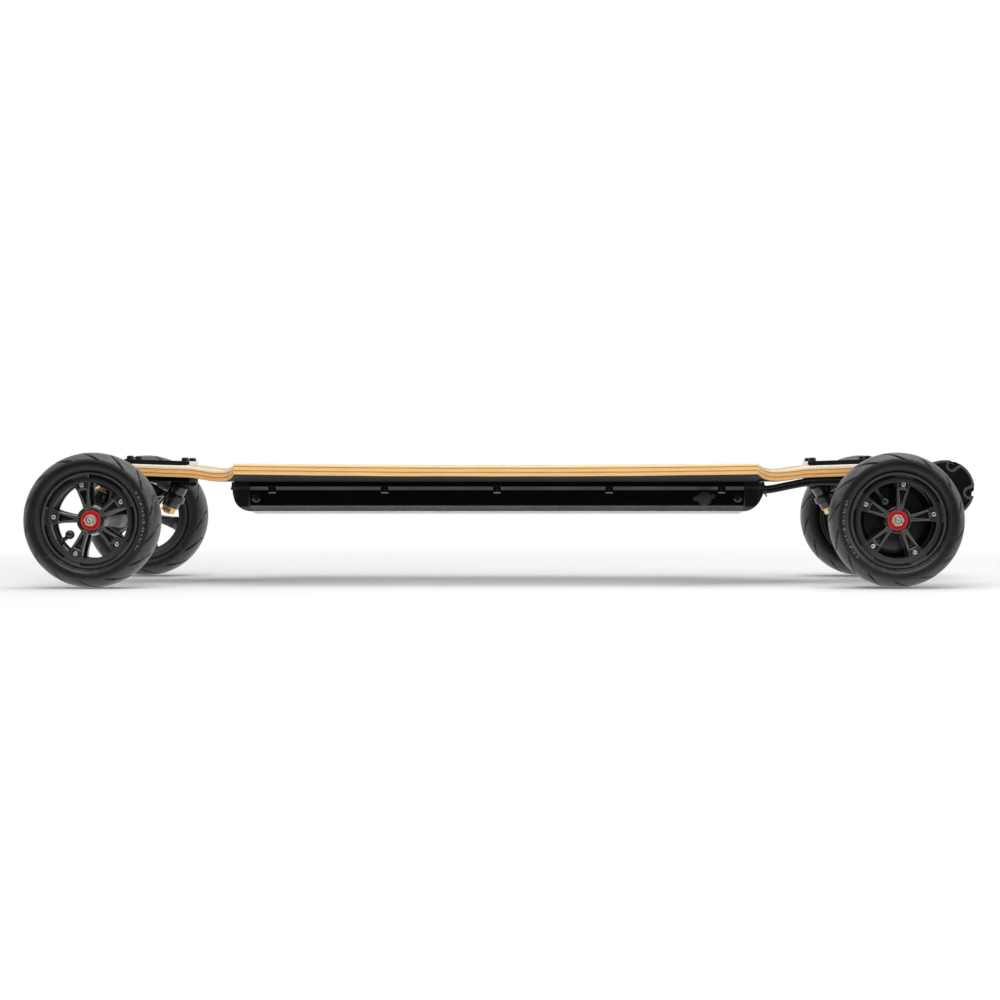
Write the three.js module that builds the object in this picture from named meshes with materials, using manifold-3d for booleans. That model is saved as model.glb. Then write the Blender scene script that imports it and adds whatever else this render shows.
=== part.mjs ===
// Electric mountainboard: a ply deck on two double-pivot trucks, four air-filled wheels,
// an underslung battery case and a belt drive on each rear wheel.
// Millimetres, +Z up, ground at Z = 0. +X points to the rear, the rider's left is -Y.
import * as THREE from "three";
import { mergeVertices } from "three/addons/utils/BufferGeometryUtils.js";
import Module from "manifold-3d";

const wasm = await Module();
wasm.setup();

// Clearances between neighbouring pieces.
const fit_gap = 0.3;
const running_gap = 1;
const cut_overrun = 2;

// Whole board.
const wheelbase = 1040;
const wheel_track = 320;
const wheel_diameter = 175;
const axle_height = wheel_diameter / 2;

// Deck. The outline narrows from the standing platform to a neck at each truck.
const deck_thickness = 16;
const deck_above_axle = 49.5;
const deck_centre_height = axle_height + deck_above_axle;
const platform_half_length = 345;
const platform_half_width = 120;
const neck_start = 371;
const neck_half_width = 60;
const neck_rise_end = 420;
const deck_overhang = 18;
const deck_half_length = wheelbase / 2 + deck_overhang;
const deck_end_half_width = 50;
const deck_end_radius = 34;
const rail_start_width = 88;
const rail_rise_middle = 5.4;
const rail_rise_end = 8.2;
const neck_slope = THREE.MathUtils.degToRad(2);
const neck_rise = 5.4;
const grip_thickness = 1;
const grip_plate_gap = 0.5;

// Battery case under the deck: a tray with a flange, closed at each end by a cap.
const case_half_width = 90;
const case_wall_half_width = 85;
const case_floor_half_width = 77;
const case_height = 39.2;
const case_flange_height = 6.2;
const case_flange_chamfer = 4.5;
const case_floor_chamfer = 6.3;
const case_wall = 3.2;
const case_half_length = 329;
const case_cap_length = 23;
const case_cap_crown = 12.3;
const pocket_width = 10;
const pocket_depth = 1.6;
const pocket_height = 8;
const pocket_pitch = 149.7;
const pocket_count_each_side = 5;
const end_screw_radius = 5;
const end_screw_inset = 8;
const end_screw_depth = 1.6;
const skid_thickness = 3.4;
const skid_half_width = 70;
const skid_half_length = 333;
const pack_gap = 2;

// Charging socket and its rubber cap, on the left wall of the case.
const socket_place = 276.5;
const socket_below_deck = 22;
const socket_height = deck_centre_height - socket_below_deck;
const socket_flange_radius = 9.5;
const socket_flange_thickness = 1.8;
const socket_body_radius = 8;
const socket_bore_radius = 6.8;
const socket_depth = 14;
const socket_pocket_depth = 6.4;
const cap_radius = 8.4;
const cap_thickness = 2.6;
const cap_wing_reach = 15;
const cap_wing_half_height = 3.2;
const cap_plug_radius = 6.1;
const cap_plug_depth = 3;
const cap_tilt = THREE.MathUtils.degToRad(8);

// Motor cables: two sleeves, one above the other, with one moulded strain relief.
const sleeve_radius = 2.85;
const sleeve_pitch = 5.4;
const cable_side = -42;
const cable_exit_below_deck = 10;
const cable_exit_height = deck_centre_height - cable_exit_below_deck;
const cable_past_plate = 27;
const relief_length = 9;
const relief_half_width = 5;
const relief_half_height = 7;

// Trucks. Both are built at the rear and turned half a turn for the front.
const axle_from_plate = 55;
const plate_place = wheelbase / 2 - axle_from_plate;
const top_plate_half_length = 44.5;
const top_plate_half_width = 32;
const top_plate_thickness = 5;
const top_plate_dome_length = 26;
const top_plate_dome_rise = 1.6;
const base_half_length = 44;
const base_half_width = 32;
const base_thickness = 6;
const kingpin_angle = THREE.MathUtils.degToRad(25);
const kingpin_from_plate = -16.6;
const kingpin_above_axle = 27.5;
const kingpin_height = axle_height + kingpin_above_axle;
const kingpin_radius = 5;
const kingpin_seat = 19;
const kingpin_seat_radius = 14;
const kingpin_root = 27;
const bushing_radius = 12.3;
const bushing_waist_radius = 11.2;
const lower_bushing_length = 9;
const ring_radius = 15;
const ring_bore_radius = 6.5;
const ring_above = 4.7;
const ring_below = 3.3;
const washer_radius = 11.3;
const washer_thickness = 1.6;
const kingpin_nut_width = 17;
const kingpin_nut_length = 7;
const kingpin_tip = 2;
const carriage_centre_from_plate = 34.7;
const carriage_centre_above_axle = 26;
const carriage_centre_height = axle_height + carriage_centre_above_axle;
const carriage_half_width = 14;
const arm_half_thickness = 5;
const arm_start = 10;
const arm_end = 38;
const nose_radius = 5.5;
const nose_end = 50.2;
const cup_start = 42;
const cup_end = 54;
const cup_radius = 8.5;
const beam_drop = 10;
const saddle_clearance = 9.5;
const saddle_half_width = 16;
const hanger_block_half_width = 19;
const hanger_block_depth = 29;
const hanger_toe_depth = 22;
const hanger_tube_radius = 11.5;
const hanger_tube_end_radius = 10;
const hanger_tube_end = 116;
const spindle_radius = 7;
const spindle_end = 148;
const axle_radius = 5;
const axle_thread_radius = 4;
const axle_end = 181;

// Wheels: a tyre on a rim of two cast halves.
const tyre_width = 50;
const tyre_crown_width = 16;
const tyre_shoulder_width = 34;
const tyre_shoulder_drop = 1.9;
const tyre_side_width = 46.4;
const tyre_side_drop = 6.8;
const tyre_bulge_radius = 73;
const tyre_toe_radius = 62.2;
const tyre_bead_outer = 15.2;
const tyre_bead_inner = 8.5;
const tyre_wall = 5.5;
const rim_seat_radius = 59.6;
const rim_flange_radius = 61.5;
const rim_face = 18;
const rim_flange_thickness = 2.5;
const rim_ring_radius = 49;
const rim_ring_depth = 5;
const rim_barrel_wall = 5.2;
const hub_face = 14.5;
const hub_bore_radius = 8;
const bearing_radius = 13;
const hub_wall = 4.7;
const hub_radius = bearing_radius + hub_wall;
const bearing_width = 8;
const bearing_face = 11;
const spoke_root_inset = 2.5;
const spoke_root_radius = hub_radius - spoke_root_inset;
const spoke_tip_radius = 52;
const spoke_root_half_width = 4.4;
const spoke_tip_half_width = 10;
const spoke_front = 17;
const spoke_depth = 8;
const spoke_hole_margin = 3.3;
const spoke_hole_start = hub_radius + spoke_hole_margin;
const spoke_hole_end = 39;
const spoke_hole_start_half_width = 0.9;
const spoke_hole_end_half_width = 4.8;
const rim_screw_circle = 46.5;
const rim_screw_pocket_radius = 5;
const rim_screw_pocket_depth = 3;
const axle_nut_width = 13;
const axle_nut_length = 6.8;

// Belt drive on each rear wheel.
const motor_behind_axle = 69;
const motor_above_axle = 40;
const motor_radius = 26;
const motor_length = 62;
const motor_edge = 3;
const mount_outer = 117;
const mount_thickness = 5;
const mount_axle_radius = 20;
const mount_motor_radius = 28;
const mount_hole_radius = 13;
const pulley_inner_side = 118;
const pulley_outer_side = 130;
const wheel_pulley_radius = 52.5;
const wheel_pulley_boss_radius = 40;
const wheel_pulley_web = 4;
const wheel_pulley_rim = 6;
const motor_pulley_radius = 12;
const motor_shaft_radius = 4;
const belt_thickness = 2.5;
const belt_side_gap = 0.6;
const cover_motor_radius = 38;
const cover_wheel_radius = 60;
const cover_hole_radius = 44;
const cover_face = 133.5;
const cover_face_thickness = 2.5;
const cover_wall = 2;
const cover_pillar_radius = 3.5;
const cover_scallop_radius = 4.5;
const cover_scallop_circles = [31.4, 37];
const cover_scallop_angles = [74.8, -9.5];

// Places of the wheel screws, seen from outside, in degrees.
const screw_phases = { front_left: 30.8, front_right: 50, rear_left: 9.6, rear_right: 66 };

// Facet counts.
const tyre_facets = 20;
const hub_facets = 12;
const pin_facets = 8;
const sleeve_facets = 6;
const spoke_count = 5;

const half_turn = Math.PI;
const quarter_turn = Math.PI / 2;

// A closed solid from a three.js geometry, and the way back.
function solidOf(geometry) {
  const bare = geometry.index ? geometry.toNonIndexed() : geometry.clone();
  bare.deleteAttribute("normal");
  bare.deleteAttribute("uv");
  const merged = mergeVertices(bare, fit_gap / 1000);
  const vertProperties = new Float32Array(merged.attributes.position.array);
  const triVerts = new Uint32Array(merged.index.array);
  return new wasm.Manifold(new wasm.Mesh({ numProp: 3, vertProperties, triVerts }));
}

function geometryOf(solid) {
  const mesh = solid.getMesh();
  const geometry = new THREE.BufferGeometry();
  geometry.setAttribute("position", new THREE.BufferAttribute(new Float32Array(mesh.vertProperties), 3));
  geometry.setIndex(new THREE.BufferAttribute(new Uint32Array(mesh.triVerts), 1));
  return geometry;
}

function join(...geometries) {
  return geometryOf(geometries.map(solidOf).reduce((all, one) => all.add(one)));
}

function cut(geometry, ...cutters) {
  return geometryOf(cutters.map(solidOf).reduce((rest, one) => rest.subtract(one), solidOf(geometry)));
}

function common(first, second) {
  return geometryOf(solidOf(first).intersect(solidOf(second)));
}

// An outline of [x, z] points made solid between two places on Y.
function slabAlongY(points, from, to, holes = []) {
  const shape = new THREE.Shape(points.map(([x, z]) => new THREE.Vector2(x, z)));
  for (const hole of holes) shape.holes.push(new THREE.Path(hole.map(([x, z]) => new THREE.Vector2(x, z))));
  const geometry = new THREE.ExtrudeGeometry(shape, { depth: to - from, bevelEnabled: false, steps: 1 });
  return geometry.rotateX(quarter_turn).translate(0, to, 0);
}

// An outline of [y, z] points made solid between two places on X.
function slabAlongX(points, from, to) {
  const shape = new THREE.Shape(points.map(([y, z]) => new THREE.Vector2(y, z)));
  const geometry = new THREE.ExtrudeGeometry(shape, { depth: to - from, bevelEnabled: false, steps: 1 });
  return geometry.rotateX(quarter_turn).rotateZ(quarter_turn).translate(from, 0, 0);
}

// A turned solid about the Y axis from [radius, y] points, with a flat facet facing down.
function turned(points, facets) {
  const outline = points.map(([radius, y]) => new THREE.Vector2(radius, y));
  const area = outline.reduce((sum, a, i) => {
    const b = outline[(i + 1) % outline.length];
    return sum + a.x * b.y - b.x * a.y;
  }, 0);
  if (area < 0) outline.reverse();
  if (outline[0].x > 0) outline.push(outline[0].clone());
  return new THREE.LatheGeometry(outline, facets, half_turn / facets);
}

// A radius whose facets, not its corners, reach the named radius.
function acrossFlats(radius, facets) {
  return radius / Math.cos(half_turn / facets);
}

function rod(radius, from, to, facets) {
  return turned([[0, from], [radius, from], [radius, to], [0, to]], facets);
}

function tube(radius, bore, from, to, facets) {
  return turned([[bore, from], [radius, from], [radius, to], [bore, to]], facets);
}

function block(x0, x1, y0, y1, z0, z1) {
  const geometry = new THREE.BoxGeometry(x1 - x0, y1 - y0, z1 - z0);
  return geometry.translate((x0 + x1) / 2, (y0 + y1) / 2, (z0 + z1) / 2);
}

function piece(name, geometry, parent, colour, roughness, metalness) {
  const material = new THREE.MeshStandardMaterial({ color: colour, roughness, metalness });
  const mesh = new THREE.Mesh(geometry, material);
  mesh.name = name;
  parent.add(mesh);
  return mesh;
}

// Colours seen on the board.
const ply = 0xdfb878;
const grip_clear = 0xe2d3ae;
const plastic_black = 0x121214;
const plastic_grey = 0x3a3b3d;
const clear_sheet = 0xdadde0;
const rubber = 0x2b2c2e;
const cast_black = 0x1c1d1f;
const urethane = 0x17181a;
const gold = 0xcaa86a;
const steel = 0xc9c6bd;
const seal_red = 0xd62a2c;
const pack_blue = 0x2f5d8a;

// The origin lies on the ground under the middle of the whole board.
const front_reach = wheelbase / 2 + wheel_diameter / 2;
const rear_reach = wheelbase / 2 + motor_behind_axle + cover_motor_radius;
const board = new THREE.Group();
const model = new THREE.Group();
model.position.x = (front_reach - rear_reach) / 2;
board.add(model);

// Deck surface.
const clamp01 = (share) => THREE.MathUtils.clamp(share, 0, 1);

// How far along the flank, between the platform and the neck, a place is.
function flankShare(place) {
  return clamp01((place - platform_half_length) / (neck_start - platform_half_length));
}

function deckHalfWidth(x) {
  const place = Math.abs(x);
  const taper = flankShare(place) * (2 - flankShare(place));
  const wide = THREE.MathUtils.lerp(platform_half_width, neck_half_width, taper);
  const along = clamp01((place - neck_start) / (deck_half_length - neck_start));
  const narrowed = wide - (neck_half_width - deck_end_half_width) * along;
  const past = Math.max(0, place - (deck_half_length - deck_end_radius));
  return narrowed - deck_end_radius + Math.sqrt(Math.max(0, deck_end_radius ** 2 - past ** 2));
}

function deckUnderside(x, y) {
  const place = Math.abs(x);
  const sag = THREE.MathUtils.lerp(rail_rise_middle, rail_rise_end, clamp01(place / platform_half_length) ** 2);
  const left = (1 - flankShare(place)) ** 2;
  const edge = THREE.MathUtils.lerp(neck_half_width, platform_half_width, left);
  const rail_width = platform_half_width - rail_start_width;
  const lift = sag * left * clamp01((Math.abs(y) - edge + rail_width) / rail_width) ** 1.3;
  const run = neck_rise_end - neck_start;
  const share = clamp01((place - neck_start) / run);
  const start_rise = neck_rise * (3 - 2 * share) * share ** 2;
  const end_slope = Math.tan(neck_slope) * run * (share ** 3 - share ** 2);
  const beyond = Math.max(0, place - neck_rise_end) * Math.tan(neck_slope);
  return deck_centre_height + lift + start_rise + end_slope + beyond;
}

const across_shares = [-1, -0.88, -0.75, 0, 0.75, 0.88, 1];

function stations(half_length, places) {
  const inside = places.filter((place) => place < half_length);
  const right = [...inside, half_length];
  return [...right.slice(1).map((place) => -place).reverse(), 0, ...right.slice(1)];
}

// A closed sheet between two levels that both follow the deck, built as one grid of corners.
function deckSheet(half_length, low, high) {
  const flank = neck_start - platform_half_length;
  const neck = neck_rise_end - neck_start;
  const round_start = deck_half_length - deck_end_radius;
  const places = [0, platform_half_length / 2, platform_half_length,
    platform_half_length + flank * 0.12, platform_half_length + flank * 0.25,
    platform_half_length + flank * 0.5, platform_half_length + flank * 0.75, neck_start,
    neck_start + neck * 0.3, neck_start + neck * 0.65, neck_rise_end, round_start,
    round_start + deck_end_radius * 0.5, round_start + deck_end_radius * 0.8,
    round_start + deck_end_radius * 0.94];
  const rows = stations(half_length, places);
  const wide = across_shares.length;
  const corners = [];
  for (const x of rows) {
    for (const share of across_shares) {
      const y = share * deckHalfWidth(x);
      corners.push(x, y, deckUnderside(x, y) + low, x, y, deckUnderside(x, y) + high);
    }
  }
  const corner = (i, j, level) => (i * wide + j) * 2 + level;
  const faces = [];
  const quad = (a, b, c, d) => faces.push(a, b, c, a, c, d);
  const last_row = rows.length - 1;
  const last_column = wide - 1;
  for (let i = 0; i < last_row; i += 1) {
    for (let j = 0; j < last_column; j += 1) {
      quad(corner(i, j, 1), corner(i + 1, j, 1), corner(i + 1, j + 1, 1), corner(i, j + 1, 1));
      faces.push(corner(i, j, 0), corner(i + 1, j + 1, 0), corner(i + 1, j, 0));
      faces.push(corner(i, j, 0), corner(i, j + 1, 0), corner(i + 1, j + 1, 0));
    }
    quad(corner(i, 0, 0), corner(i + 1, 0, 0), corner(i + 1, 0, 1), corner(i, 0, 1));
    quad(corner(i + 1, last_column, 0), corner(i, last_column, 0), corner(i, last_column, 1),
      corner(i + 1, last_column, 1));
  }
  for (let j = 0; j < last_column; j += 1) {
    quad(corner(0, j + 1, 0), corner(0, j, 0), corner(0, j, 1), corner(0, j + 1, 1));
    quad(corner(last_row, j, 0), corner(last_row, j + 1, 0), corner(last_row, j + 1, 1), corner(last_row, j, 1));
  }
  const geometry = new THREE.BufferGeometry();
  geometry.setAttribute("position", new THREE.Float32BufferAttribute(corners, 3));
  geometry.setIndex(faces);
  return geometry;
}

piece("deck", deckSheet(deck_half_length, 0, deck_thickness), model, ply, 0.45, 0);
const grip_low = deck_thickness + fit_gap;
const grip_half_length = plate_place - top_plate_half_length - grip_plate_gap;
const grip = deckSheet(grip_half_length, grip_low, grip_low + grip_thickness);
piece("grip_sheet", grip, model, grip_clear, 0.75, 0);

// Battery case: outer section, hollow section, tray and end caps.
const case_top = deck_centre_height - fit_gap;
const case_bottom = case_top - case_height;
const flange_low = case_top - case_flange_height;
const wall_top = flange_low - case_flange_chamfer;
const wall_low = case_bottom + case_floor_chamfer;
const case_inner_width = case_wall_half_width - case_wall;
const case_inner_floor = case_bottom + case_wall;
const case_inner_low = wall_low + case_wall / 2;
const case_inner_floor_width = case_floor_half_width - case_wall / 2;

const outer_right = [[case_floor_half_width, case_bottom], [case_wall_half_width, wall_low],
  [case_wall_half_width, wall_top], [case_half_width, flange_low], [case_half_width, case_top]];
const inner_right = [[case_inner_width, case_top], [case_inner_width, case_inner_low],
  [case_inner_floor_width, case_inner_floor]];
const mirrored = (points) => points.map(([y, z]) => [-y, z]).reverse();
const tray_section = [...outer_right, ...inner_right, ...mirrored(inner_right), ...mirrored(outer_right)];

const pocket_cutters = [];
for (let i = 0; i < pocket_count_each_side; i += 1) {
  const place = (i - (pocket_count_each_side - 1) / 2) * pocket_pitch;
  const low = wall_top - pocket_height / 2;
  for (const side of [-1, 1]) {
    const inside = side * (case_wall_half_width - pocket_depth);
    const outside = side * (case_half_width + cut_overrun);
    pocket_cutters.push(block(place - pocket_width / 2, place + pocket_width / 2,
      Math.min(inside, outside), Math.max(inside, outside), low, low + pocket_height));
  }
}
for (const side of [-1, 1]) {
  for (const end of [-1, 1]) {
    const wall = side * case_wall_half_width;
    const hole = rod(end_screw_radius, wall - end_screw_depth, wall + end_screw_depth, pin_facets);
    pocket_cutters.push(hole.translate(end * (case_half_length - end_screw_inset), 0, socket_height));
  }
}
const socket_wall = -case_wall_half_width;
const socket_hole = rod(acrossFlats(socket_body_radius + fit_gap, hub_facets), socket_wall - cut_overrun,
  socket_wall + case_wall + cut_overrun, hub_facets).translate(socket_place, 0, socket_height);
const tray = slabAlongX(tray_section, -case_half_length, case_half_length);
piece("case_tray", cut(tray, ...pocket_cutters, socket_hole), model, plastic_black, 0.35, 0);

// The side view of an end cap is a quarter of an ellipse under a short upright edge.
function quarterProfile(length, height, crown, base, top) {
  const points = [[base, top], [base, top - crown - height]];
  for (let i = 1; i <= 7; i += 1) {
    const angle = quarter_turn * (i / 7);
    points.push([base + length * Math.sin(angle), top - crown - height * Math.cos(angle)]);
  }
  points.push([base + length, top]);
  return points;
}

function endCap() {
  const base = case_half_length + fit_gap;
  const solid_section = [...outer_right, ...mirrored(outer_right)];
  const hollow_section = [[case_inner_width, case_top + cut_overrun], [case_inner_width, case_inner_low],
    [case_inner_floor_width, case_inner_floor]];
  const drop = case_height - case_cap_crown;
  const outer = slabAlongX(solid_section, base, base + case_cap_length + cut_overrun);
  const profile = quarterProfile(case_cap_length, drop, case_cap_crown, base, case_top);
  const whole = common(outer, slabAlongY(profile, -case_half_width - cut_overrun, case_half_width + cut_overrun));
  const inner_profile = quarterProfile(case_cap_length - case_wall, drop - case_wall,
    case_cap_crown + cut_overrun, base - cut_overrun, case_top + cut_overrun);
  const inner = slabAlongX([...hollow_section, ...mirrored(hollow_section)], base - cut_overrun,
    base + case_cap_length);
  const hollow = common(inner, slabAlongY(inner_profile, -case_half_width, case_half_width));
  return cut(whole, hollow);
}
const rear_cap = endCap();
const front_cap = endCap().rotateZ(half_turn);
piece("case_rear_cap", rear_cap, model, plastic_grey, 0.55, 0);
piece("case_front_cap", front_cap, model, plastic_grey, 0.55, 0);

const skid_top = case_bottom - fit_gap;
const skid_side = [[-skid_half_length, skid_top], [-skid_half_length + skid_thickness * 3, skid_top - skid_thickness],
  [skid_half_length - skid_thickness * 3, skid_top - skid_thickness], [skid_half_length, skid_top]];
piece("skid_plate", slabAlongY(skid_side, -skid_half_width, skid_half_width), model, clear_sheet, 0.2, 0);

// The battery and the controller fill the tray as one potted pack.
const pack_floor = case_inner_floor + fit_gap;
const pack_right = [[case_inner_floor_width - pack_gap, pack_floor],
  [case_inner_width - pack_gap, case_inner_low + pack_gap / 2], [case_inner_width - pack_gap, case_top - pack_gap]];
const pack_half_length = case_half_length - pack_gap;
const pack = slabAlongX([...pack_right, ...mirrored(pack_right)], -pack_half_length, pack_half_length);
const socket_clear = socket_body_radius + pack_gap;
const socket_notch = block(socket_place - socket_clear, socket_place + socket_clear, -case_half_width,
  -case_wall_half_width + socket_depth + pack_gap, socket_height - socket_clear, case_top);
piece("battery_pack", cut(pack, socket_notch), model, pack_blue, 0.5, 0);

// Charging socket: a flanged tube with a blind end, and the cap that plugs it.
const flange_face = socket_wall - fit_gap - socket_flange_thickness;
const socket = turned([[0, socket_wall + socket_depth], [socket_body_radius, socket_wall + socket_depth],
  [socket_body_radius, socket_wall - fit_gap], [socket_flange_radius, socket_wall - fit_gap],
  [socket_flange_radius, flange_face], [socket_bore_radius, flange_face],
  [socket_bore_radius, flange_face + socket_pocket_depth], [0, flange_face + socket_pocket_depth]], hub_facets);
piece("charge_socket", socket.translate(socket_place, 0, socket_height), model, steel, 0.3, 0.9);

const cap_back = flange_face - fit_gap;
const cap_front = cap_back - cap_thickness;
const wing = slabAlongY([[-cap_wing_reach, -cap_wing_half_height], [cap_wing_reach, -cap_wing_half_height],
  [cap_wing_reach, cap_wing_half_height], [-cap_wing_reach, cap_wing_half_height]], cap_front, cap_back);
const cap_disc = rod(cap_radius, cap_front, cap_back, hub_facets);
const cap_plug = rod(cap_plug_radius, cap_back - cap_thickness / 2, cap_back + cap_plug_depth, hub_facets);
const cap = join(wing.rotateY(-cap_tilt), cap_disc, cap_plug);
piece("charge_cap", cap.translate(socket_place, 0, socket_height), model, rubber, 0.7, 0);

// Motor cables, from the strain relief on the rear cap up to the deck and back to the truck.
const cable_start_x = case_half_length + fit_gap + case_cap_length + fit_gap;
const under_deck = (x) => deckUnderside(x, cable_side) - sleeve_radius - sleeve_pitch / 2 - running_gap / 2;
const cable_run = neck_rise_end - cable_start_x;
const cable_end_place = plate_place + cable_past_plate;
const cable_points = [
  new THREE.Vector3(cable_start_x, cable_side, cable_exit_height),
  new THREE.Vector3(cable_start_x + cable_run * 0.25, cable_side, cable_exit_height),
  new THREE.Vector3(neck_rise_end, cable_side, under_deck(neck_rise_end)),
  new THREE.Vector3(cable_end_place - cable_run * 0.5, cable_side, under_deck(cable_end_place - cable_run * 0.5)),
  new THREE.Vector3(cable_end_place, cable_side, under_deck(cable_end_place)),
];

function sleeve(offset) {
  const path = new THREE.CatmullRomCurve3(cable_points.map((p) => p.clone().setZ(p.z + offset)));
  const ring = [];
  for (let i = 0; i < sleeve_facets; i += 1) {
    const angle = (i / sleeve_facets) * half_turn * 2;
    ring.push(new THREE.Vector2(sleeve_radius * Math.cos(angle), sleeve_radius * Math.sin(angle)));
  }
  return new THREE.ExtrudeGeometry(new THREE.Shape(ring), { steps: 12, extrudePath: path, bevelEnabled: false });
}
const relief = block(cable_start_x, cable_start_x + relief_length, cable_side - relief_half_width,
  cable_side + relief_half_width, cable_exit_height - relief_half_height, cable_exit_height + relief_half_height);
const cables = join(sleeve(-sleeve_pitch / 2), sleeve(sleeve_pitch / 2), relief);
piece("motor_cable", cables, model, plastic_black, 0.5, 0);

// Truck frame: x from the middle of the top plate towards the board's end, z from the ground.
const tilt_sin = Math.sin(kingpin_angle);
const tilt_cos = Math.cos(kingpin_angle);
const slope = Math.tan(neck_slope);
const deck_low_at_plate = deckUnderside(plate_place, 0);

// First pivot stage: t runs along the pivot axis, s down the kingpin, both from where they cross.
function stagePoint([t, s]) {
  return [kingpin_from_plate + t * tilt_cos + s * tilt_sin, kingpin_height + t * tilt_sin - s * tilt_cos];
}

function alongKingpin(geometry) {
  return geometry.rotateX(quarter_turn).rotateY(-kingpin_angle).translate(kingpin_from_plate, 0, kingpin_height);
}

function alongPivot(geometry) {
  return geometry.rotateZ(-quarter_turn).rotateY(-kingpin_angle).translate(kingpin_from_plate, 0, kingpin_height);
}

// The second stage is the first one turned half a turn about the middle of the carriage.
function secondStage(geometry) {
  return geometry.rotateY(half_turn).translate(2 * carriage_centre_from_plate, 0, 2 * carriage_centre_height);
}

const lower_start = ring_below + fit_gap;
const washer_start = lower_start + lower_bushing_length + fit_gap;
const kingpin_end = washer_start + washer_thickness + kingpin_nut_length + kingpin_tip;
const bore_for_pin = acrossFlats(kingpin_radius + fit_gap, pin_facets);

function kingpin() {
  const shank = rod(kingpin_radius, -kingpin_end, kingpin_root - fit_gap, pin_facets);
  const washer = rod(washer_radius, -washer_start - washer_thickness, -washer_start, pin_facets);
  const nut = rod(acrossFlats(kingpin_nut_width / 2, 6), -washer_start - washer_thickness - kingpin_nut_length,
    -washer_start - washer_thickness / 2, 6);
  return alongKingpin(join(shank, washer, nut));
}

function upperBushing() {
  const from = ring_above + fit_gap;
  const to = kingpin_seat - fit_gap;
  return alongKingpin(turned([[bore_for_pin, from], [bushing_waist_radius, from], [bushing_radius, (from + to) / 2],
    [bushing_radius, to], [bore_for_pin, to]], hub_facets));
}

function lowerBushing() {
  const from = -lower_start - lower_bushing_length;
  const to = -lower_start;
  return alongKingpin(turned([[bore_for_pin, from], [bushing_waist_radius, from], [bushing_radius, to],
    [bore_for_pin, to]], hub_facets));
}

function stageRing() {
  return alongKingpin(tube(ring_radius, ring_bore_radius, -ring_below, ring_above, hub_facets));
}

function stageNose() {
  return alongPivot(rod(nose_radius, arm_end - nose_radius, nose_end, pin_facets));
}

function stageCup() {
  return alongPivot(rod(cup_radius, cup_start, cup_end, hub_facets));
}

function stageCupBore() {
  const bore = acrossFlats(nose_radius + fit_gap, pin_facets);
  return alongPivot(rod(bore, cup_start - cut_overrun, nose_end + fit_gap, pin_facets));
}

function stageSeat(depth) {
  return alongKingpin(rod(kingpin_seat_radius, kingpin_seat, kingpin_seat + depth, hub_facets));
}

function stageBushingSpace() {
  return alongKingpin(rod(bushing_radius + running_gap, 0, kingpin_seat, hub_facets));
}

function stagePinBore() {
  return alongKingpin(rod(bore_for_pin, kingpin_seat - cut_overrun, kingpin_root, pin_facets));
}

function sloped(x, offset) {
  return [x, deck_low_at_plate + offset + slope * x];
}

function topPlate() {
  const low = deck_thickness + fit_gap;
  const high = low + top_plate_thickness;
  const half = top_plate_half_length;
  const dome = top_plate_dome_length / 2;
  const outline = [sloped(-half, low), sloped(half, low), sloped(half, high), sloped(dome, high),
    sloped(dome / 2, high + top_plate_dome_rise), sloped(-dome / 2, high + top_plate_dome_rise),
    sloped(-dome, high), sloped(-half, high)];
  return slabAlongY(outline, -top_plate_half_width, top_plate_half_width);
}

function basePlate() {
  const top = -fit_gap;
  const low = top - base_thickness;
  const half = base_half_length;
  const outline = [sloped(-half, low), sloped(half, low), sloped(half, top), sloped(-half, top)];
  const flat = slabAlongY(outline, -base_half_width, base_half_width);
  const deck_space = slabAlongY([sloped(-half - cup_end, top), sloped(half + cup_end, top),
    sloped(half + cup_end, top + cup_end), sloped(-half - cup_end, top + cup_end)], -base_half_width, base_half_width);
  const seat = stageSeat(kingpin_root - kingpin_seat);
  return cut(join(flat, seat, stageCup()), deck_space, stageCupBore(), stagePinBore(), stageBushingSpace());
}

function carriage() {
  const side = [stagePoint([arm_start, -ring_above]), stagePoint([arm_end, -arm_half_thickness]),
    stagePoint([arm_end, arm_half_thickness]), stagePoint([arm_end - cut_overrun, beam_drop])];
  const ring_low = stagePoint([bushing_radius + running_gap, ring_below]);
  const opposite = ([x, z]) => [2 * carriage_centre_from_plate - x, 2 * carriage_centre_height - z];
  const outline = [...side, opposite(ring_low), ...side.map(opposite), ring_low];
  const beam = slabAlongY(outline, -carriage_half_width, carriage_half_width);
  const bore = () => alongKingpin(rod(ring_bore_radius, -ring_radius, ring_radius, hub_facets));
  return cut(join(beam, stageRing(), secondStage(stageRing()), stageNose(), secondStage(stageNose())),
    bore(), secondStage(bore()));
}

// Two circles wrapped by one outline, as a belt wraps its pulleys.
function wrapped(near, near_radius, far, far_radius, facets) {
  const reach = Math.hypot(far[0] - near[0], far[1] - near[1]);
  const heading = Math.atan2(far[1] - near[1], far[0] - near[0]);
  const lean = Math.acos((near_radius - far_radius) / reach);
  const points = [];
  const arc = (centre, radius, from, to, count) => {
    const corner = radius / Math.cos((to - from) / count / 2);
    for (let i = 0; i <= count; i += 1) {
      const angle = from + ((to - from) * i) / count;
      const out = i === 0 || i === count ? radius : corner;
      points.push([centre[0] + out * Math.cos(angle), centre[1] + out * Math.sin(angle)]);
    }
  };
  arc(near, near_radius, heading + lean, heading + 2 * half_turn - lean, facets);
  arc(far, far_radius, heading - lean, heading + lean, Math.round(facets / 2));
  return points;
}

const axle_point = [axle_from_plate, axle_height];
const motor_point = [axle_from_plate + motor_behind_axle, axle_height + motor_above_axle];

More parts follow.
